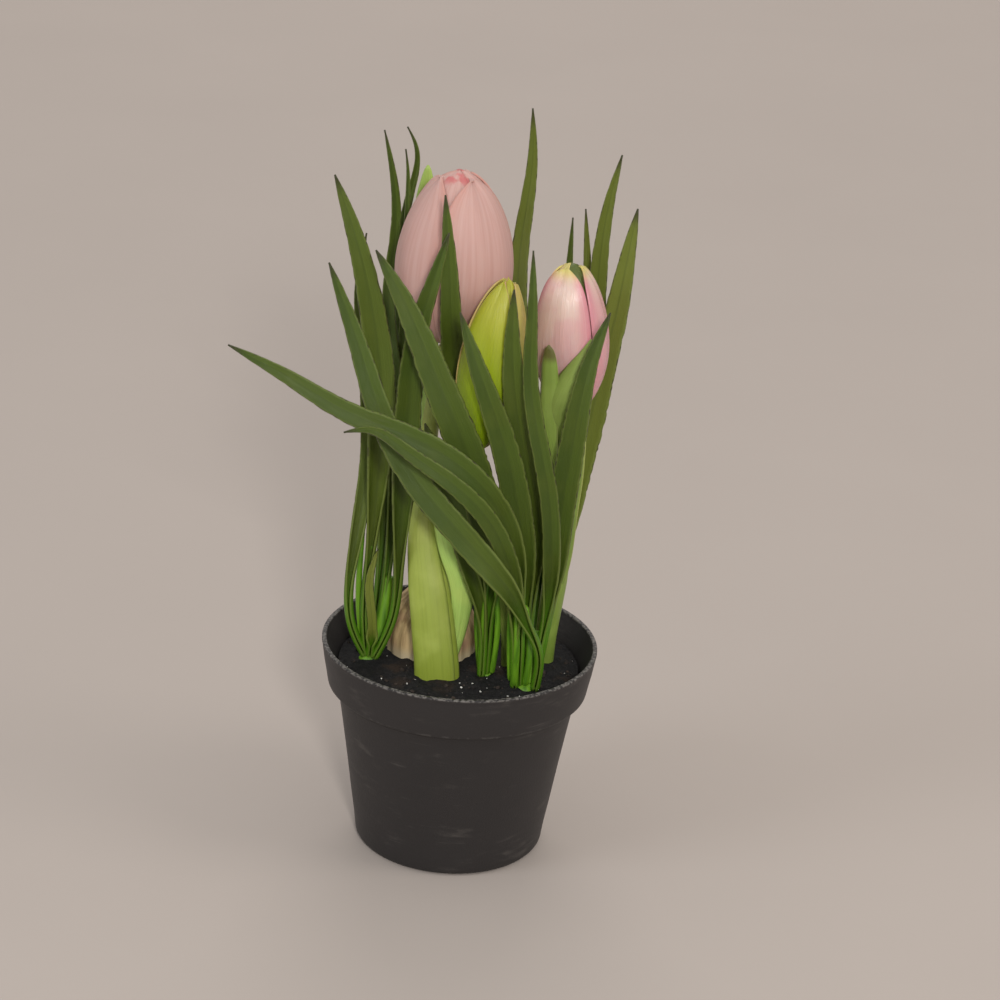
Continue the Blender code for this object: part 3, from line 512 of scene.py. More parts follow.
def soft_step(low, high, value):
    """0 below low, 1 above high and smooth between."""
    t = min(max((value - low) / (high - low), 0.0), 1.0)
    return t * t * (3.0 - 2.0 * t)


def thicken(piece, thick):
    """Give a sheet its thickness, half on each side."""
    wall = piece.modifiers.new("thickness", "SOLIDIFY")
    wall.thickness = thick * MM
    wall.offset = 0.0
    wall.use_even_offset = False


def stalk(bm, points, halves, rows=40, columns=24, label=0.0):
    """A round stalk: a grid rolled into a closed tube, its ends drawn to points."""
    middle, side, face = along_route(points, rows, (0, -1, 0), (0, -1, 0))
    radius = np.interp(np.linspace(0, 1, rows + 1), np.linspace(0, 1, len(halves)), halves)

    def place(across, along):
        i = round(along * rows)
        turn = 2.0 * math.pi * across
        reach = radius[i] * (0.0 if i in (0, rows) else 1.0)
        return middle[i] + (side[i] * math.cos(turn) + face[i] * math.sin(turn)) * reach

    made = lay_sheet(bm, columns, rows, place, label)
    bmesh.ops.remove_doubles(bm, verts=made, dist=0.0005)


def let_light_in(shader, gloss, share, radius, scale):
    """How glossy a plant's skin is, and how far light goes into it."""
    shader.inputs["Specular IOR Level"].default_value = gloss
    shader.inputs["Subsurface Weight"].default_value = share
    shader.inputs["Subsurface Radius"].default_value = radius
    shader.inputs["Subsurface Scale"].default_value = scale


def sheet_shares(tree, coord):
    """How far along a sheet a place is, and how far it is to the right of its middle line."""
    across, along, _ = add_node(tree, "SeparateXYZ", Vector=coord.outputs["UV"]).outputs
    return along, work_out(tree, "SUBTRACT", across, 0.5)


def tint_of(tree):
    """The label that lay_sheet gave to a sheet."""
    return add_node(tree, "Attribute", {"attribute_name": "tint"}).outputs["Fac"]


def leaf_look(name, low, high, edge, bright):
    """Leaf skin: fine lengthwise veins, a tinted edge and a change of green along it."""
    mat, tree, shader, coord = new_finish(name, 0.40)
    let_light_in(shader, 0.4, 0.08, (0.003, 0.004, 0.001), 0.6)
    along, signed = sheet_shares(tree, coord)
    side = work_out(tree, "ABSOLUTE", signed)
    veins = grain(tree, coord.outputs["UV"], 22.0, 5.0, (2.0, 0.10, 1.0), 0.65)
    cloudy = grain(tree, coord.outputs["Object"], 70.0, 3.0)
    colour = blend_colours(tree, along, low, high)
    lit = tint_of(tree)
    colour = blend_colours(tree, lit, colour, bright)
    withered = times(tree, rise_between(tree, lit, 0.86, 0.89),
                     rise_between(tree, along, 0.92, 0.96))
    colour = blend_colours(tree, times(tree, withered, 0.8), colour, (0.110, 0.075, 0.030))
    colour = blend_colours(tree, times(tree, rise_between(tree, veins, 0.40, 0.66), 0.22),
                           colour, tuple(c * 0.62 for c in low))
    colour = blend_colours(tree, times(tree, rise_between(tree, cloudy, 0.45, 0.7), 0.25),
                           colour, tuple(min(c * 1.5, 1.0) for c in high))
    colour = blend_colours(tree, times(tree, rise_between(tree, side, 0.462, 0.497), 0.6),
                           colour, edge)
    tree.links.new(colour, shader.inputs["Base Color"])
    bump(tree, shader, veins, 0.00025, 0.6)
    return mat


light_leaf = leaf_look("light_leaf_skin", (0.250, 0.325, 0.032), (0.390, 0.440, 0.115),
                       (0.24, 0.30, 0.06), (0.380, 0.560, 0.130))
WRAP_ROWS = 90
WRAP_TURNS = 1.13
WRAP_START = math.radians(-38.0)
# Half width and half depth of the wrapped stem, at shares of its length
WRAP_SHARES = [0, 0.10, 0.2, 0.34, 0.46, 0.55, 0.65, 0.75, 1.0]
WRAP_WIDE = [7.2, 7.3, 7.2, 6.8, 5.4, 3.8, 2.9, 2.6, 2.3]
WRAP_DEEP = [4.0, 4.1, 4.0, 3.8, 3.4, 3.0, 2.7, 2.5, 2.3]
stem_bm = bmesh.new()
stem_middle = along_route(PINK_STEM, WRAP_ROWS, (0, -1, 0), (0, -1, 0))[0]
stem_wide = np.interp(np.linspace(0, 1, WRAP_ROWS + 1), WRAP_SHARES, WRAP_WIDE)
stem_deep = np.interp(np.linspace(0, 1, WRAP_ROWS + 1), WRAP_SHARES, WRAP_DEEP)


def wrapped(across, along):
    """The leaf's spiral wrap: it passes its own start, outside it, at the front right."""
    i = round(along * WRAP_ROWS)
    turn = WRAP_START - 2.0 * math.pi * WRAP_TURNS * (1.0 - across)
    grown = 1.0 - 0.075 * (1.0 - across) * soft_step(0.0, 0.08, along)
    level = np.array((stem_wide[i] * math.cos(turn), stem_deep[i] * math.sin(turn), 0.0))
    return stem_middle[i] + grown * level


lay_sheet(stem_bm, 64, WRAP_ROWS, wrapped, 0.0)
BROAD_ROWS = 56
BROAD_WAVE = 0.10


def broad_leaf(bm, points, halves, fold, face_low, face_high, columns=14, label=0.0):
    """A broad leaf bent round its midrib, with a gently waved edge."""
    middle, side, face = along_route(points, BROAD_ROWS, face_low, face_high)
    half = np.interp(np.linspace(0, 1, BROAD_ROWS + 1), np.linspace(0, 1, len(halves)), halves)
    half = np.convolve(np.pad(half, 3, mode="edge"), np.ones(7) / 7.0, mode="valid")

    def place(across, along):
        i = round(along * BROAD_ROWS)
        a = 2.0 * across - 1.0
        ripple = BROAD_WAVE * half[i] * math.sin(9.0 * along + 2.0 * a) * abs(a)
        end = math.sqrt(max(1.0 - max((along - 0.88) / 0.12, 0.0) ** 2, 0.0))
        drop = -fold * half[i] * a * a * 2.0 + 0.10 * half[i] * abs(a) ** 0.5
        return (middle[i] + side[i] * max(half[i] * end, 0.15) * a
                + face[i] * (drop + ripple) * max(end, 0.1))

    lay_sheet(bm, columns, BROAD_ROWS, place, label)


broad_leaf(stem_bm, [(-3.0, -13, 67), (-0.5, -10.5, 77), (0.5, -10.5, 88), (0.2, -11, 98),
                     (-3.2, -10.5, 107), (-6.5, -8.5, 117), (-9.5, -7, 126)],
           [2.0, 2.4, 3.2, 4.8, 4.8, 4.2, 1.4], 0.25, (0.5, -1.0, 0.1), (0.2, -1.0, 0.2),
           label=1.0)
broad_leaf(stem_bm, [(-14, 2, 132), (-16, 14, 146), (-18.5, 26, 168), (-20, 33, 192),
                     (-20, 34, 221)],
           [1.6, 4.0, 5.2, 4.6, 1.6], 0.18, (0.0, -1.0, 0.4), (0.0, -1.0, 0.1), label=0.8)
thicken(shown("wrapped_stem", stem_bm, [light_leaf], ["stem_pink"]), 0.7)
core_bm = bmesh.new()
stalk(core_bm, [(-14, -4, 116), (-14, 0, 128), (-14, 4, 139), (-12, 9, 158), (-10.2, 11.4, 168.9)],
      [2.2, 2.3, 2.3, 2.2, 2.4])
shown("pink_flower_stalk", core_bm, [light_leaf])


# The pink flower: six broad soft petals closed into an egg shape, three inside and three
# outside. Each outer petal laps over its neighbours, and the tips fold in over the top.
PETAL_SUNK = 0.40
PETAL_CUP = 0.35
PETAL_FOOT = 0.012


def flower_place(base, tip):
    """The matrix that stands a flower on its stem, and its length."""
    base, tip = Vector(base), Vector(tip)
    axis = (tip - base).normalized()
    side = Vector((1.0, 0.0, 0.0))
    side = (side - axis * side.dot(axis)).normalized()
    turn = Matrix((side, axis.cross(side), axis)).transposed().to_4x4()
    return Matrix.Translation(base) @ turn, (tip - base).length


def flower_radius(share, widest, at, blunt):
    """Radius of the closed flower at a share of its length; blunt shapes its foot and tip."""
    power = math.log(0.5) / math.log(at)
    swell = max(math.sin(math.pi * share ** power), 0.0)
    return widest * swell ** (blunt[1] if share > at else blunt[0])


def lay_petal(bm, shape, azimuth, span, offset, top, lean, label, round_top, crease=0.0):
    """One petal: a cupped sheet round the flower's axis, its tip lying on the flower's dome."""
    place, length, widest, at, blunt = shape

    def spot(across, along):
        rise = math.sin(math.pi / 2.0 * along)
        share = PETAL_FOOT + (top - PETAL_FOOT) * rise
        a = 2.0 * across - 1.0
        reach = span * max(1.0 - rise ** round_top, 0.0) ** 0.5 if top < 1.0 else span
        angle = math.radians(azimuth + max(reach, 0.4) * a)
        ripple = 0.22 * noise.noise(Vector((2.2 * a + label * 7.0, 3.0 * share, label)))
        rib = -0.22 * math.exp(-(a / 0.16) ** 2)
        relief = lean * a - PETAL_CUP * (1.0 - abs(a)) + ripple + rib
        fold = crease * math.sin(5.0 * a + 9.0 * label) * rise ** 10
        out = (flower_radius(share, widest, at, blunt) + offset - PETAL_SUNK
               + relief * soft_step(0.0, 0.3, rise) + fold)
        low = share * length - 0.5 * crease * abs(a) * rise ** 12
        out = max(out, 0.0)
        return place @ Vector((out * math.cos(angle), out * math.sin(angle), low))

    lay_sheet(bm, 28, 48, spot, label)


def flower_bm(base, tip, widest, at, blunt, petals, round_top, crease=0.0):
    """A closed flower; a petal's row holds its azimuth, half span, offset, top and lean."""
    bm = bmesh.new()
    place, length = flower_place(base, tip)
    for k, (azimuth, span, offset, top, lean) in enumerate(petals):
        lay_petal(bm, (place, length, widest, at, blunt), azimuth, span, offset, top, lean,
                  (k + 1) / 8.0, round_top, crease)
    return bm


pink, tree, shader, coord = new_finish("pink_petal", 0.55)
let_light_in(shader, 0.3, 0.15, (0.006, 0.003, 0.002), 0.5)
along, signed = sheet_shares(tree, coord)
side = work_out(tree, "ABSOLUTE", signed)
veins = grain(tree, coord.outputs["UV"], 15.0, 4.0, (1.7, 0.12, 1.0), 0.55)
colour = blend_colours(tree, rise_between(tree, veins, 0.36, 0.66), (0.545, 0.340, 0.305),
                       (0.505, 0.295, 0.262))
colour = blend_colours(tree, times(tree, rise_between(tree, side, 0.30, 0.50), 0.55), colour,
                       (0.500, 0.235, 0.190))
colour = blend_colours(tree, rise_between(tree, along, 0.32, 0.05), colour, (0.480, 0.280, 0.240))
inner = rise_between(tree, tint_of(tree), 0.46, 0.40)
crease_red = times(tree, inner, rise_between(tree, along, 0.74, 0.84))
blotch = rise_between(tree, grain(tree, coord.outputs["Object"], 170.0, 3.0), 0.47, 0.58)
crease_red = times(tree, crease_red, blotch)
colour = blend_colours(tree, times(tree, crease_red, 0.8), colour, (0.50, 0.115, 0.12))
tree.links.new(colour, shader.inputs["Base Color"])
bump(tree, shader, veins, 0.0002, 0.35)
pink_bm = flower_bm((-10.0, 12.0, 169.0), (-9.2, 12.0, 227.0), 19.0, 0.44, (0.75, 0.46),
                    [(240.0, 62.0, -1.0, 1.0, -0.2), (0.0, 62.0, -1.0, 1.0, -0.2),
                     (120.0, 62.0, -1.0, 1.0, -0.2), (192.0, 70.0, 0.0, 0.965, -0.2),
                     (314.0, 60.0, 0.4, 0.975, -0.3), (66.0, 66.0, -0.3, 0.985, 0.0)], 14.0, 0.5)
thicken(shown("pink_flower", pink_bm, [pink], ["flower_pink"]), 0.7)


# The yellow bud: a thin green stalk and a long closed bud of six satin petals, yellow-green
# with warm orange edges and a greener foot.
stalk_green = leaf_look("stalk_green_skin", (0.215, 0.290, 0.055), (0.280, 0.330, 0.070),
                        (0.2, 0.2, 0.06), (0.280, 0.330, 0.070))
yellow_stem_bm = bmesh.new()
stalk(yellow_stem_bm, [(15.5, -1.5, 52), (15.5, -1.5, 64), (13.8, -4.5, 84), (10, -7.5, 108),
                       (5.5, -10, 128), (2.3, -11.8, 142.9)], [1.6, 1.6, 1.6, 1.7, 1.9, 2.2])
shown("yellow_bud_stalk", yellow_stem_bm, [stalk_green], ["stem_yellow"])

yellow, tree, shader, coord = new_finish("yellow_green_petal", 0.36)
let_light_in(shader, 0.5, 0.1, (0.004, 0.004, 0.001), 0.5)
along, signed = sheet_shares(tree, coord)
side = work_out(tree, "ABSOLUTE", signed)
veins = grain(tree, coord.outputs["UV"], 26.0, 4.0, (1.7, 0.16, 1.0), 0.6)
colour = blend_colours(tree, rise_between(tree, along, 0.12, 0.75), (0.260, 0.390, 0.005),
                       (0.390, 0.385, 0.020))
colour = blend_colours(tree, rise_between(tree, side, 0.470, 0.497), colour, (0.480, 0.290, 0.130))
colour = blend_colours(tree, times(tree, rise_between(tree, veins, 0.42, 0.66), 0.3),
                       colour, (0.250, 0.300, 0.020))
turned_away = rise_between(tree, tint_of(tree), 0.56, 0.60)
colour = blend_colours(tree, times(tree, turned_away, 0.7), colour, (0.520, 0.400, 0.130))
tree.links.new(colour, shader.inputs["Base Color"])
bump(tree, shader, veins, 0.0003, 0.6)
yellow_bm = flower_bm((1.9, -12.0, 143.2), (8.0, -14.0, 202.0), 10.4, 0.46, (0.7, 0.55),
                      [(305.0, 62.0, -0.9, 1.0, 0.2), (65.0, 62.0, -0.9, 1.0, 0.2),
                       (185.0, 62.0, -0.9, 1.0, 0.2), (240.0, 64.0, 0.4, 0.985, 0.3),
                       (352.0, 62.0, 0.3, 0.975, 0.3), (118.0, 64.0, 0.3, 0.975, 0.3)], 8.0)
thicken(shown("yellow_bud", yellow_bm, [yellow], ["flower_yellow"]), 0.6)


# The blush flower: a thick green stem, a broad leaf that clasps it under the flower, a small
# leaf beside that, and a plump glossy flower, cream flushed with pink, its tips yellow.
mid_leaf = leaf_look("mid_leaf_skin", (0.150, 0.235, 0.030), (0.250, 0.330, 0.075),
                     (0.46, 0.48, 0.16), (0.230, 0.330, 0.060))
blush_stem_bm = bmesh.new()
stalk(blush_stem_bm, [(27.6, 5.5, 52), (27.6, 5.5, 64), (29.4, 4.5, 90), (30.8, 2, 119),
                      (31.5, 0.5, 144), (31, 0, 153.9)],
      [3.5, 3.5, 4.0, 3.6, 2.8, 2.6], columns=32, label=0.1)
clasp_bm = bmesh.new()
broad_leaf(clasp_bm, [(29.5, 3.6, 84), (29.6, -1.4, 103), (28.2, -7, 128), (27, -12.5, 148),
                      (27.6, -16, 162), (31.2, -16.5, 173), (35, -15.5, 184)],
           [1.2, 4.2, 5.8, 8.0, 8.4, 5.6, 0.6], 0.2, (-0.1, -1.0, 0.2), (-0.35, -1.0, 0.3))
broad_leaf(clasp_bm, [(30, -1, 100), (27, -8, 128), (24, -13.5, 146), (23, -14.5, 163),
                      (22, -15, 181)],
           [1.8, 2.4, 2.8, 2.9, 2.4], 0.2, (-0.2, -1.0, 0.2), (-0.4, -1.0, 0.2), columns=8,
           label=0.9)
shown("blush_stem", blush_stem_bm, [mid_leaf], ["stem_blush"])
thicken(shown("clasping_leaf", clasp_bm, [mid_leaf]), 0.7)

blush, tree, shader, coord = new_finish("blush_petal", 0.24)
let_light_in(shader, 0.55, 0.15, (0.006, 0.003, 0.002), 0.5)
along, signed = sheet_shares(tree, coord)
side = work_out(tree, "ABSOLUTE", signed)
veins = grain(tree, coord.outputs["UV"], 24.0, 4.0, (1.6, 0.16, 1.0), 0.6)
flush = grain(tree, coord.outputs["Object"], 62.0, 3.0)
colour = blend_colours(tree, rise_between(tree, along, 0.62, 0.10), (0.690, 0.500, 0.430),
                       (0.640, 0.380, 0.400))
colour = blend_colours(tree, times(tree, rise_between(tree, side, 0.24, 0.48), 0.9),
                       colour, (0.600, 0.215, 0.260))
patchy = times(tree, rise_between(tree, flush, 0.48, 0.62), 0.35)
colour = blend_colours(tree, patchy, colour, (0.640, 0.270, 0.300))
petal_of = tint_of(tree)
right_petal = times(tree, rise_between(tree, petal_of, 0.56, 0.60),
                    rise_between(tree, along, 0.80, 0.50))
colour = blend_colours(tree, times(tree, right_petal, 0.6), colour, (0.620, 0.250, 0.290))
colour = blend_colours(tree, times(tree, rise_between(tree, veins, 0.45, 0.68), 0.3),
                       colour, (0.70, 0.42, 0.40))
colour = blend_colours(tree, rise_between(tree, along, 0.70, 0.92), colour, (0.660, 0.560, 0.170))
# Painted shade: the inner front petal, seen in the slit between the outer petals, is painted a dark
# green, partly its own green and partly the shade inside the slit.
colour = blend_colours(tree, rise_between(tree, petal_of, 0.17, 0.14), colour,
                       (0.090, 0.120, 0.020))
tree.links.new(colour, shader.inputs["Base Color"])
bump(tree, shader, veins, 0.0004, 0.7)
blush_bm = flower_bm((30.9, 0.0, 154.2), (27.2, 0.0, 203.0), 11.8, 0.45, (0.6, 0.42),
                     [(315.0, 62.0, -0.9, 1.0, 0.2), (75.0, 62.0, -0.9, 1.0, 0.2),
                      (195.0, 62.0, -0.9, 1.0, 0.2), (242.0, 61.0, 0.4, 0.985, -0.2),
                      (352.0, 47.0, 0.4, 0.985, 0.2), (120.0, 66.0, 0.3, 0.97, -0.2)], 18.0)
thicken(shown("blush_flower", blush_bm, [blush], ["flower_blush"]), 0.6)


# The strap leaves: four tufts of dark green leaves. Each leaf starts as a round bright green
# stalk, opens into a strap folded along its middle, and ends in a dark point. Its edges are
# finely ragged. A row holds its width in millimetres, where the strap opens, and its route.
LEFT_LEAVES = [
    ("back_thin", 5.0, 0.50, [(-30.5, -2, 64), (-35.5, -4, 76), (-36, -2, 100), (-33.5, 4, 124),
                              (-36.5, 9, 166), (-39, 10, 191), (-37.5, 10, 205)]),
    ("wide", 9.6, 0.60, [(-30, -2, 64), (-31.5, -2.5, 80), (-30.6, -1.5, 100), (-29.6, -2, 122),
                         (-29, -2, 144), (-32.5, -2.5, 177), (-40.5, -3.5, 209), (-47.5, -4, 228)]),
    ("tall_thin", 4.6, 0.50, [(-27.5, -0.5, 64), (-25, 2, 93), (-24, 7, 123), (-26, 16, 153),
                              (-30, 25, 178), (-29, 27, 204), (-34, 23, 235)]),
    ("front", 8.6, 0.60, [(-27.5, -3, 64), (-22.5, -5, 78), (-21, -8, 100), (-20.8, -11, 123),
                          (-20.5, -14, 158), (-19, -15.5, 182), (-15, -16, 200), (-11, -17, 216)]),
    ("hooked", 4.2, 0.45, [(-28.5, 0.5, 64), (-27.3, 6, 94), (-27.5, 19, 146), (-28, 30, 182),
                           (-25.5, 32, 210), (-24, 30, 228), (-27, 28, 235)]),
    ("side_tip", 3.2, 0.45, [(-27.2, 1.4, 64), (-25.4, 8, 94), (-24.6, 17, 146), (-24.8, 24, 182),
                             (-25.6, 26.5, 207), (-26.4, 27, 223), (-27.2, 27, 228)]),
    ("bract", 3.0, 0.30, [(-29, -2.5, 64), (-28.8, -5.4, 79), (-30.2, -5.6, 91), (-28, -6, 104)]),
]
MIDDLE_LEAVES = [
    ("broad", 11.4, 0.34, [(9, -9.5, 64), (9, -12, 91), (7.4, -15, 113), (2.2, -20, 136),
                           (-4.6, -23, 154), (-11, -23, 168), (-25, -21, 197), (-33, -20, 210)]),
    ("rose_front", 8.6, 0.42, [(8.5, -8.5, 64), (6.5, -3.5, 91), (3, -1.5, 114), (-3, -1.5, 140),
                               (-6, -2.5, 160), (-7.5, -4.5, 172), (-9, -10.5, 186),
                               (-10, -11.5, 198), (-13, -10.5, 226)]),
    ("tallest", 6.8, 0.35, [(9.5, -8, 64), (9.8, -0.5, 76), (11.3, 4, 92), (13, 9, 130),
                            (12, 18, 170), (11, 24.5, 196), (13, 26, 226), (12, 24, 245)]),
    ("inner", 9.4, 0.62, [(7.8, -10.5, 64), (7, -12.5, 84), (2.5, -14.2, 104), (-2.2, -14.8, 119),
                          (-7.5, -15.2, 131), (-12, -16.2, 144), (-15, -17.5, 153)]),
]
FRONT_LEAVES = [
    ("arch_over", 8.2, 0.40, [(20, -16.5, 64), (19.5, -18.5, 82), (18.2, -19.5, 98), (16, -23, 112),
                              (11.5, -27, 126), (4.3, -31.5, 138.5), (-6.5, -34, 148.5),
                              (-20, -36, 156), (-38, -37.5, 163), (-57, -38, 173.5),
                              (-75.8, -37, 182.3)]),
    ("arch_under", 6.4, 0.40, [(18.7, -17.4, 64), (17.8, -20, 82), (16.8, -23, 97),
                               (14.6, -27.5, 110), (9.8, -32.5, 123.5), (2.5, -37, 135),
                               (-7, -39.5, 144), (-20, -41.5, 153.5), (-31, -43, 160),
                               (-39, -44, 159)]),
    ("middle", 9.2, 0.46, [(21, -14, 64), (21, -10, 86), (17.5, -17.5, 117), (10, -25, 151),
                           (0, -28, 178), (-6, -26.5, 194)]),
    ("upright", 9.4, 0.46, [(22, -12.5, 64), (22.2, -7, 86), (20.5, -12.5, 122),
                            (13.4, -23, 161), (10.5, -25.8, 185), (10, -25, 202)]),
    ("slim", 5.8, 0.38, [(24, -15, 64), (27, -14.5, 85), (27.5, -20, 111), (24, -28, 141),
                         (17, -30.5, 174), (16, -30.5, 197), (15, -28, 216)]),
    ("right", 9.0, 0.44, [(25, -13.5, 64), (28, -11, 88), (29, -15.5, 118), (31.5, -22, 153),
                          (35, -22, 179), (40, -20.5, 195)]),
    ("crossing", 8.8, 0.40, [(25.3, -18.4, 64), (25.7, -23, 78.5), (21.2, -28, 91),
                             (15.4, -31.5, 103), (5.4, -33, 115.5), (-5.2, -33, 127),
                             (-15.9, -32, 139), (-27.5, -29.5, 157.5), (-36, -26, 179),
                             (-47, -23, 206)]),
]
RIGHT_LEAVES = [
    ("outer", 9.8, 0.42, [(28.5, 14.5, 64), (30, 12.5, 84), (31.5, 12.3, 106), (33.6, 12.3, 125),
                          (36.8, 12.3, 144), (39.4, 12.3, 163), (42.6, 12.3, 182), (45, 12.5, 202),
                          (47, 13, 218)]),
    ("tall", 7.0, 0.40, [(28, 16.5, 64), (29.5, 16.5, 86), (33, 18.5, 120), (36.5, 21.5, 156),
                         (36.5, 22, 194), (38, 21, 216), (41, 20, 233)]),
    ("rear", 4.4, 0.35, [(27, 17.3, 64), (27.5, 20, 100), (31, 25, 148), (33.5, 27.5, 182),
                         (32, 28, 202), (31, 27.5, 212)]),
    ("rear_short", 4.0, 0.35, [(26, 15, 64), (25, 16, 100), (26, 19.5, 149), (27, 21, 183),
                               (27, 21.5, 202), (27, 21, 211)]),
]
# Round stalks that stand in the tufts beside the leaves: half width and route
LEFT_STALKS = [
    (2.4, [(-27.5, -1, 64), (-25.5, 0.8, 78), (-24.6, 2.4, 92)]),
    (1.0, [(-31, -1, 64), (-33.5, 0, 80), (-33.8, 1, 100), (-33.4, 3.8, 120)]),
    (1.0, [(-29.5, 1, 64), (-30.5, 1.5, 84), (-30, -0.5, 104)]),
]
MIDDLE_STALKS = [
    (0.95, [(7.2, -7.6, 64), (5.2, -6.5, 80), (4.8, -3.2, 98)]),
    (0.95, [(7.2, -10.4, 64), (7.2, -12, 82), (8.2, -13.6, 104)]),
    (0.95, [(11, -10.5, 64), (12, -12.5, 82), (9.5, -13.8, 104)]),
    (0.95, [(11.1, -8.2, 64), (12.2, 0.5, 86), (12.4, 5.5, 104)]),
]
FRONT_STALKS = [
    (2.5, [(22.8, -14.4, 64), (24.2, -12.8, 74), (25, -12.6, 82)]),
    (1.1, [(17.4, -15, 64), (16.2, -17.5, 82), (15.8, -21.5, 104)]),
    (1.1, [(18.6, -18.4, 64), (18.4, -20.4, 80), (16.8, -21.4, 98)]),
    (1.1, [(22, -17.5, 64), (22.6, -17.4, 78), (20.5, -14.6, 92)]),
]
RIGHT_STALKS = [
    (1.0, [(29.8, 16, 64), (32.4, 15.6, 84), (34, 15.2, 108)]),
]
# Painted light: how far a leaf's dark green is painted over with a sunlit olive; the leaves not
# named here stay dark and shaded
LIT_OLIVE_SHARE = {"outer": 0.75, "tall": 0.6, "rear": 0.7, "bract": 0.95, "wide": 0.3, "back_thin": 0.3,
         "tallest": 0.55, "rose_front": 0.2, "upright": 0.2}
DARK_LEAF = 0.1
LEAF_ROWS = 130
STALK_HALF = 1.15
ROLLED_BEND = 335.0
OPEN_BEND = 24.0
TAPER_START = 0.45


def strap_leaf(bm, width, opens, tint, route, seed):
    """One strap leaf: rolled into a stalk at its foot, open and folded above, ragged edged."""
    middle, side, face = along_route(route, LEAF_ROWS, (0, -1, 0.3), (0, -1, 0.3))

    def place(across, along):
        i = round(along * LEAF_ROWS)
        a = 2.0 * across - 1.0
        flat = soft_step(0.10, opens, along)
        narrowed = max((along - TAPER_START) / (1.0 - TAPER_START), 0.0)
        taper = max(1.0 - narrowed ** 2.4, 0.0) ** 0.75
        edge = 2.0 * round(across)
        nicks = 0.13 * noise.noise(Vector((seed, along * 110.0, edge)))
        nicks += 0.04 * noise.noise(Vector((seed, along * 15.0, edge + 5.0)))
        half = STALK_HALF * math.pi * (1.0 - flat) + width / 2.0 * flat
        half = max(half * taper * (1.0 - flat * abs(nicks)), 0.18)
        bend = math.radians(ROLLED_BEND - (ROLLED_BEND - OPEN_BEND) * flat)
        radius = 2.0 * half / bend
        turn = bend / 2.0 * a
        lift = (radius * (1.0 - math.cos(turn)) + 0.16 * half * abs(a) * flat
                - STALK_HALF * (1.0 - flat))
        return middle[i] + side[i] * radius * math.sin(turn) + face[i] * lift

    lay_sheet(bm, 8, LEAF_ROWS, place, tint)


strap, tree, shader, coord = new_finish("strap_leaf_skin", 0.40)
shader.inputs["Specular IOR Level"].default_value = 0.35
along, signed = sheet_shares(tree, coord)
side = work_out(tree, "ABSOLUTE", signed)
veins = grain(tree, coord.outputs["UV"], 20.0, 5.0, (2.6, 0.30, 1.0), 0.6)
patches = grain(tree, coord.outputs["Object"], 60.0, 4.0)
speckle = grain(tree, coord.outputs["Object"], 600.0, 3.0)
# Painted light and shade: the left half of each folded strap is painted lighter and the right half
# darker, as if one half faced the light.
colour = blend_colours(tree, rise_between(tree, signed, -0.10, 0.10), (0.058, 0.100, 0.009),
                       (0.032, 0.064, 0.003))
colour = blend_colours(tree, times(tree, rise_between(tree, patches, 0.40, 0.70), 0.6),
                       colour, (0.066, 0.098, 0.008))
colour = blend_colours(tree, times(tree, rise_between(tree, veins, 0.38, 0.66), 0.45),
                       colour, (0.028, 0.054, 0.003))
# Painted light: each leaf's label paints a sunlit olive over its dark green.
colour = blend_colours(tree, tint_of(tree), colour, (0.165, 0.195, 0.028))
colour = blend_colours(tree, times(tree, rise_between(tree, side, 0.10, 0.0), 0.3),
                       colour, (0.034, 0.056, 0.006))
colour = blend_colours(tree, rise_between(tree, along, 0.26, 0.10), colour, (0.075, 0.200, 0.006))
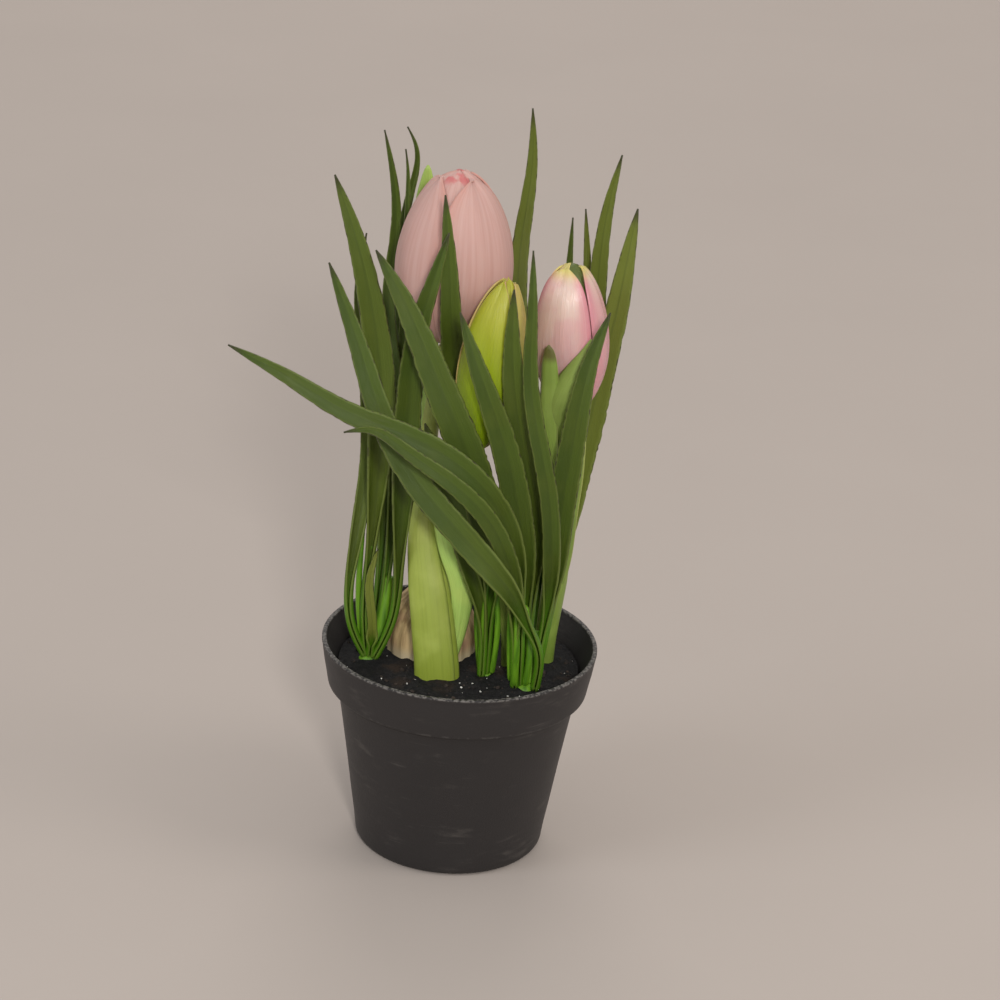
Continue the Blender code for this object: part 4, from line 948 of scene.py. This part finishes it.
# Painted highlight: a paler yellow-green band along both edges of each strap.
colour = blend_colours(tree, times(tree, rise_between(tree, side, 0.43, 0.47), 0.5),
                       colour, (0.150, 0.185, 0.040))
edge_dark = times(tree, rise_between(tree, side, 0.46, 0.495),
                  rise_between(tree, speckle, 0.50, 0.62))
edge_dark = times(tree, edge_dark, rise_between(tree, along, 0.30, 0.50))
colour = blend_colours(tree, times(tree, edge_dark, 0.8), colour, (0.030, 0.024, 0.010))
colour = blend_colours(tree, rise_between(tree, along, 0.955, 1.0), colour, (0.040, 0.042, 0.014))
tree.links.new(colour, shader.inputs["Base Color"])
bump(tree, shader, veins, 0.0003, 0.7)

foot, tree, shader, coord = new_finish("bright_foot", 0.45)
streak = grain(tree, coord.outputs["Object"], 330.0, 4.0, (1.0, 1.0, 0.12))
tree.links.new(blend_colours(tree, rise_between(tree, streak, 0.38, 0.64), (0.060, 0.165, 0.005),
                             (0.150, 0.330, 0.014)), shader.inputs["Base Color"])
bump(tree, shader, streak, 0.0003)

CLUMP_SUNK = 2.8
CLUMP_RISE = 4.0
CLUMP_SHARE = 0.9
STALK_TOP = 0.7
# Piece, node, the foot's place and half sizes, its leaves and its stalks
TUFTS = (("left_leaves", "leaves_left", (-29.0, -1.5, 4.5, 4.5), LEFT_LEAVES, LEFT_STALKS),
         ("middle_leaves", "leaves_middle", (9.0, -9.0, 3.6, 3.6), MIDDLE_LEAVES, MIDDLE_STALKS),
         ("front_leaves", "leaves_front", (21.5, -15.5, 5.4, 5.0), FRONT_LEAVES, FRONT_STALKS),
         ("right_leaves", "leaves_right", (27.5, 15.5, 3.4, 3.4), RIGHT_LEAVES, RIGHT_STALKS))
for number, (name, node, spot, leaves, stalks) in enumerate(TUFTS):
    tuft_bm = bmesh.new()
    for k, (title, width, opens, route) in enumerate(leaves):
        strap_leaf(tuft_bm, width, opens, LIT_OLIVE_SHARE.get(title, DARK_LEAF), route, 10.0 * number + k)
    thicken(shown(name, tuft_bm, [strap], [node], 70.0), 0.6)
    foot_bm = bmesh.new()
    for half, route in stalks:
        stalk(foot_bm, route, [half, half, STALK_TOP * half], rows=24, columns=14)
    x, y, half_x, half_y = spot
    clump = bmesh.ops.create_uvsphere(foot_bm, u_segments=24, v_segments=12, radius=1.0)["verts"]
    bmesh.ops.scale(foot_bm, vec=(half_x * CLUMP_SHARE, half_y * CLUMP_SHARE, CLUMP_RISE),
                    verts=clump)
    bmesh.ops.translate(foot_bm, vec=(x, y, SOIL_TOP - CLUMP_SUNK), verts=clump)
    shown(name + "_foot", foot_bm, [foot])
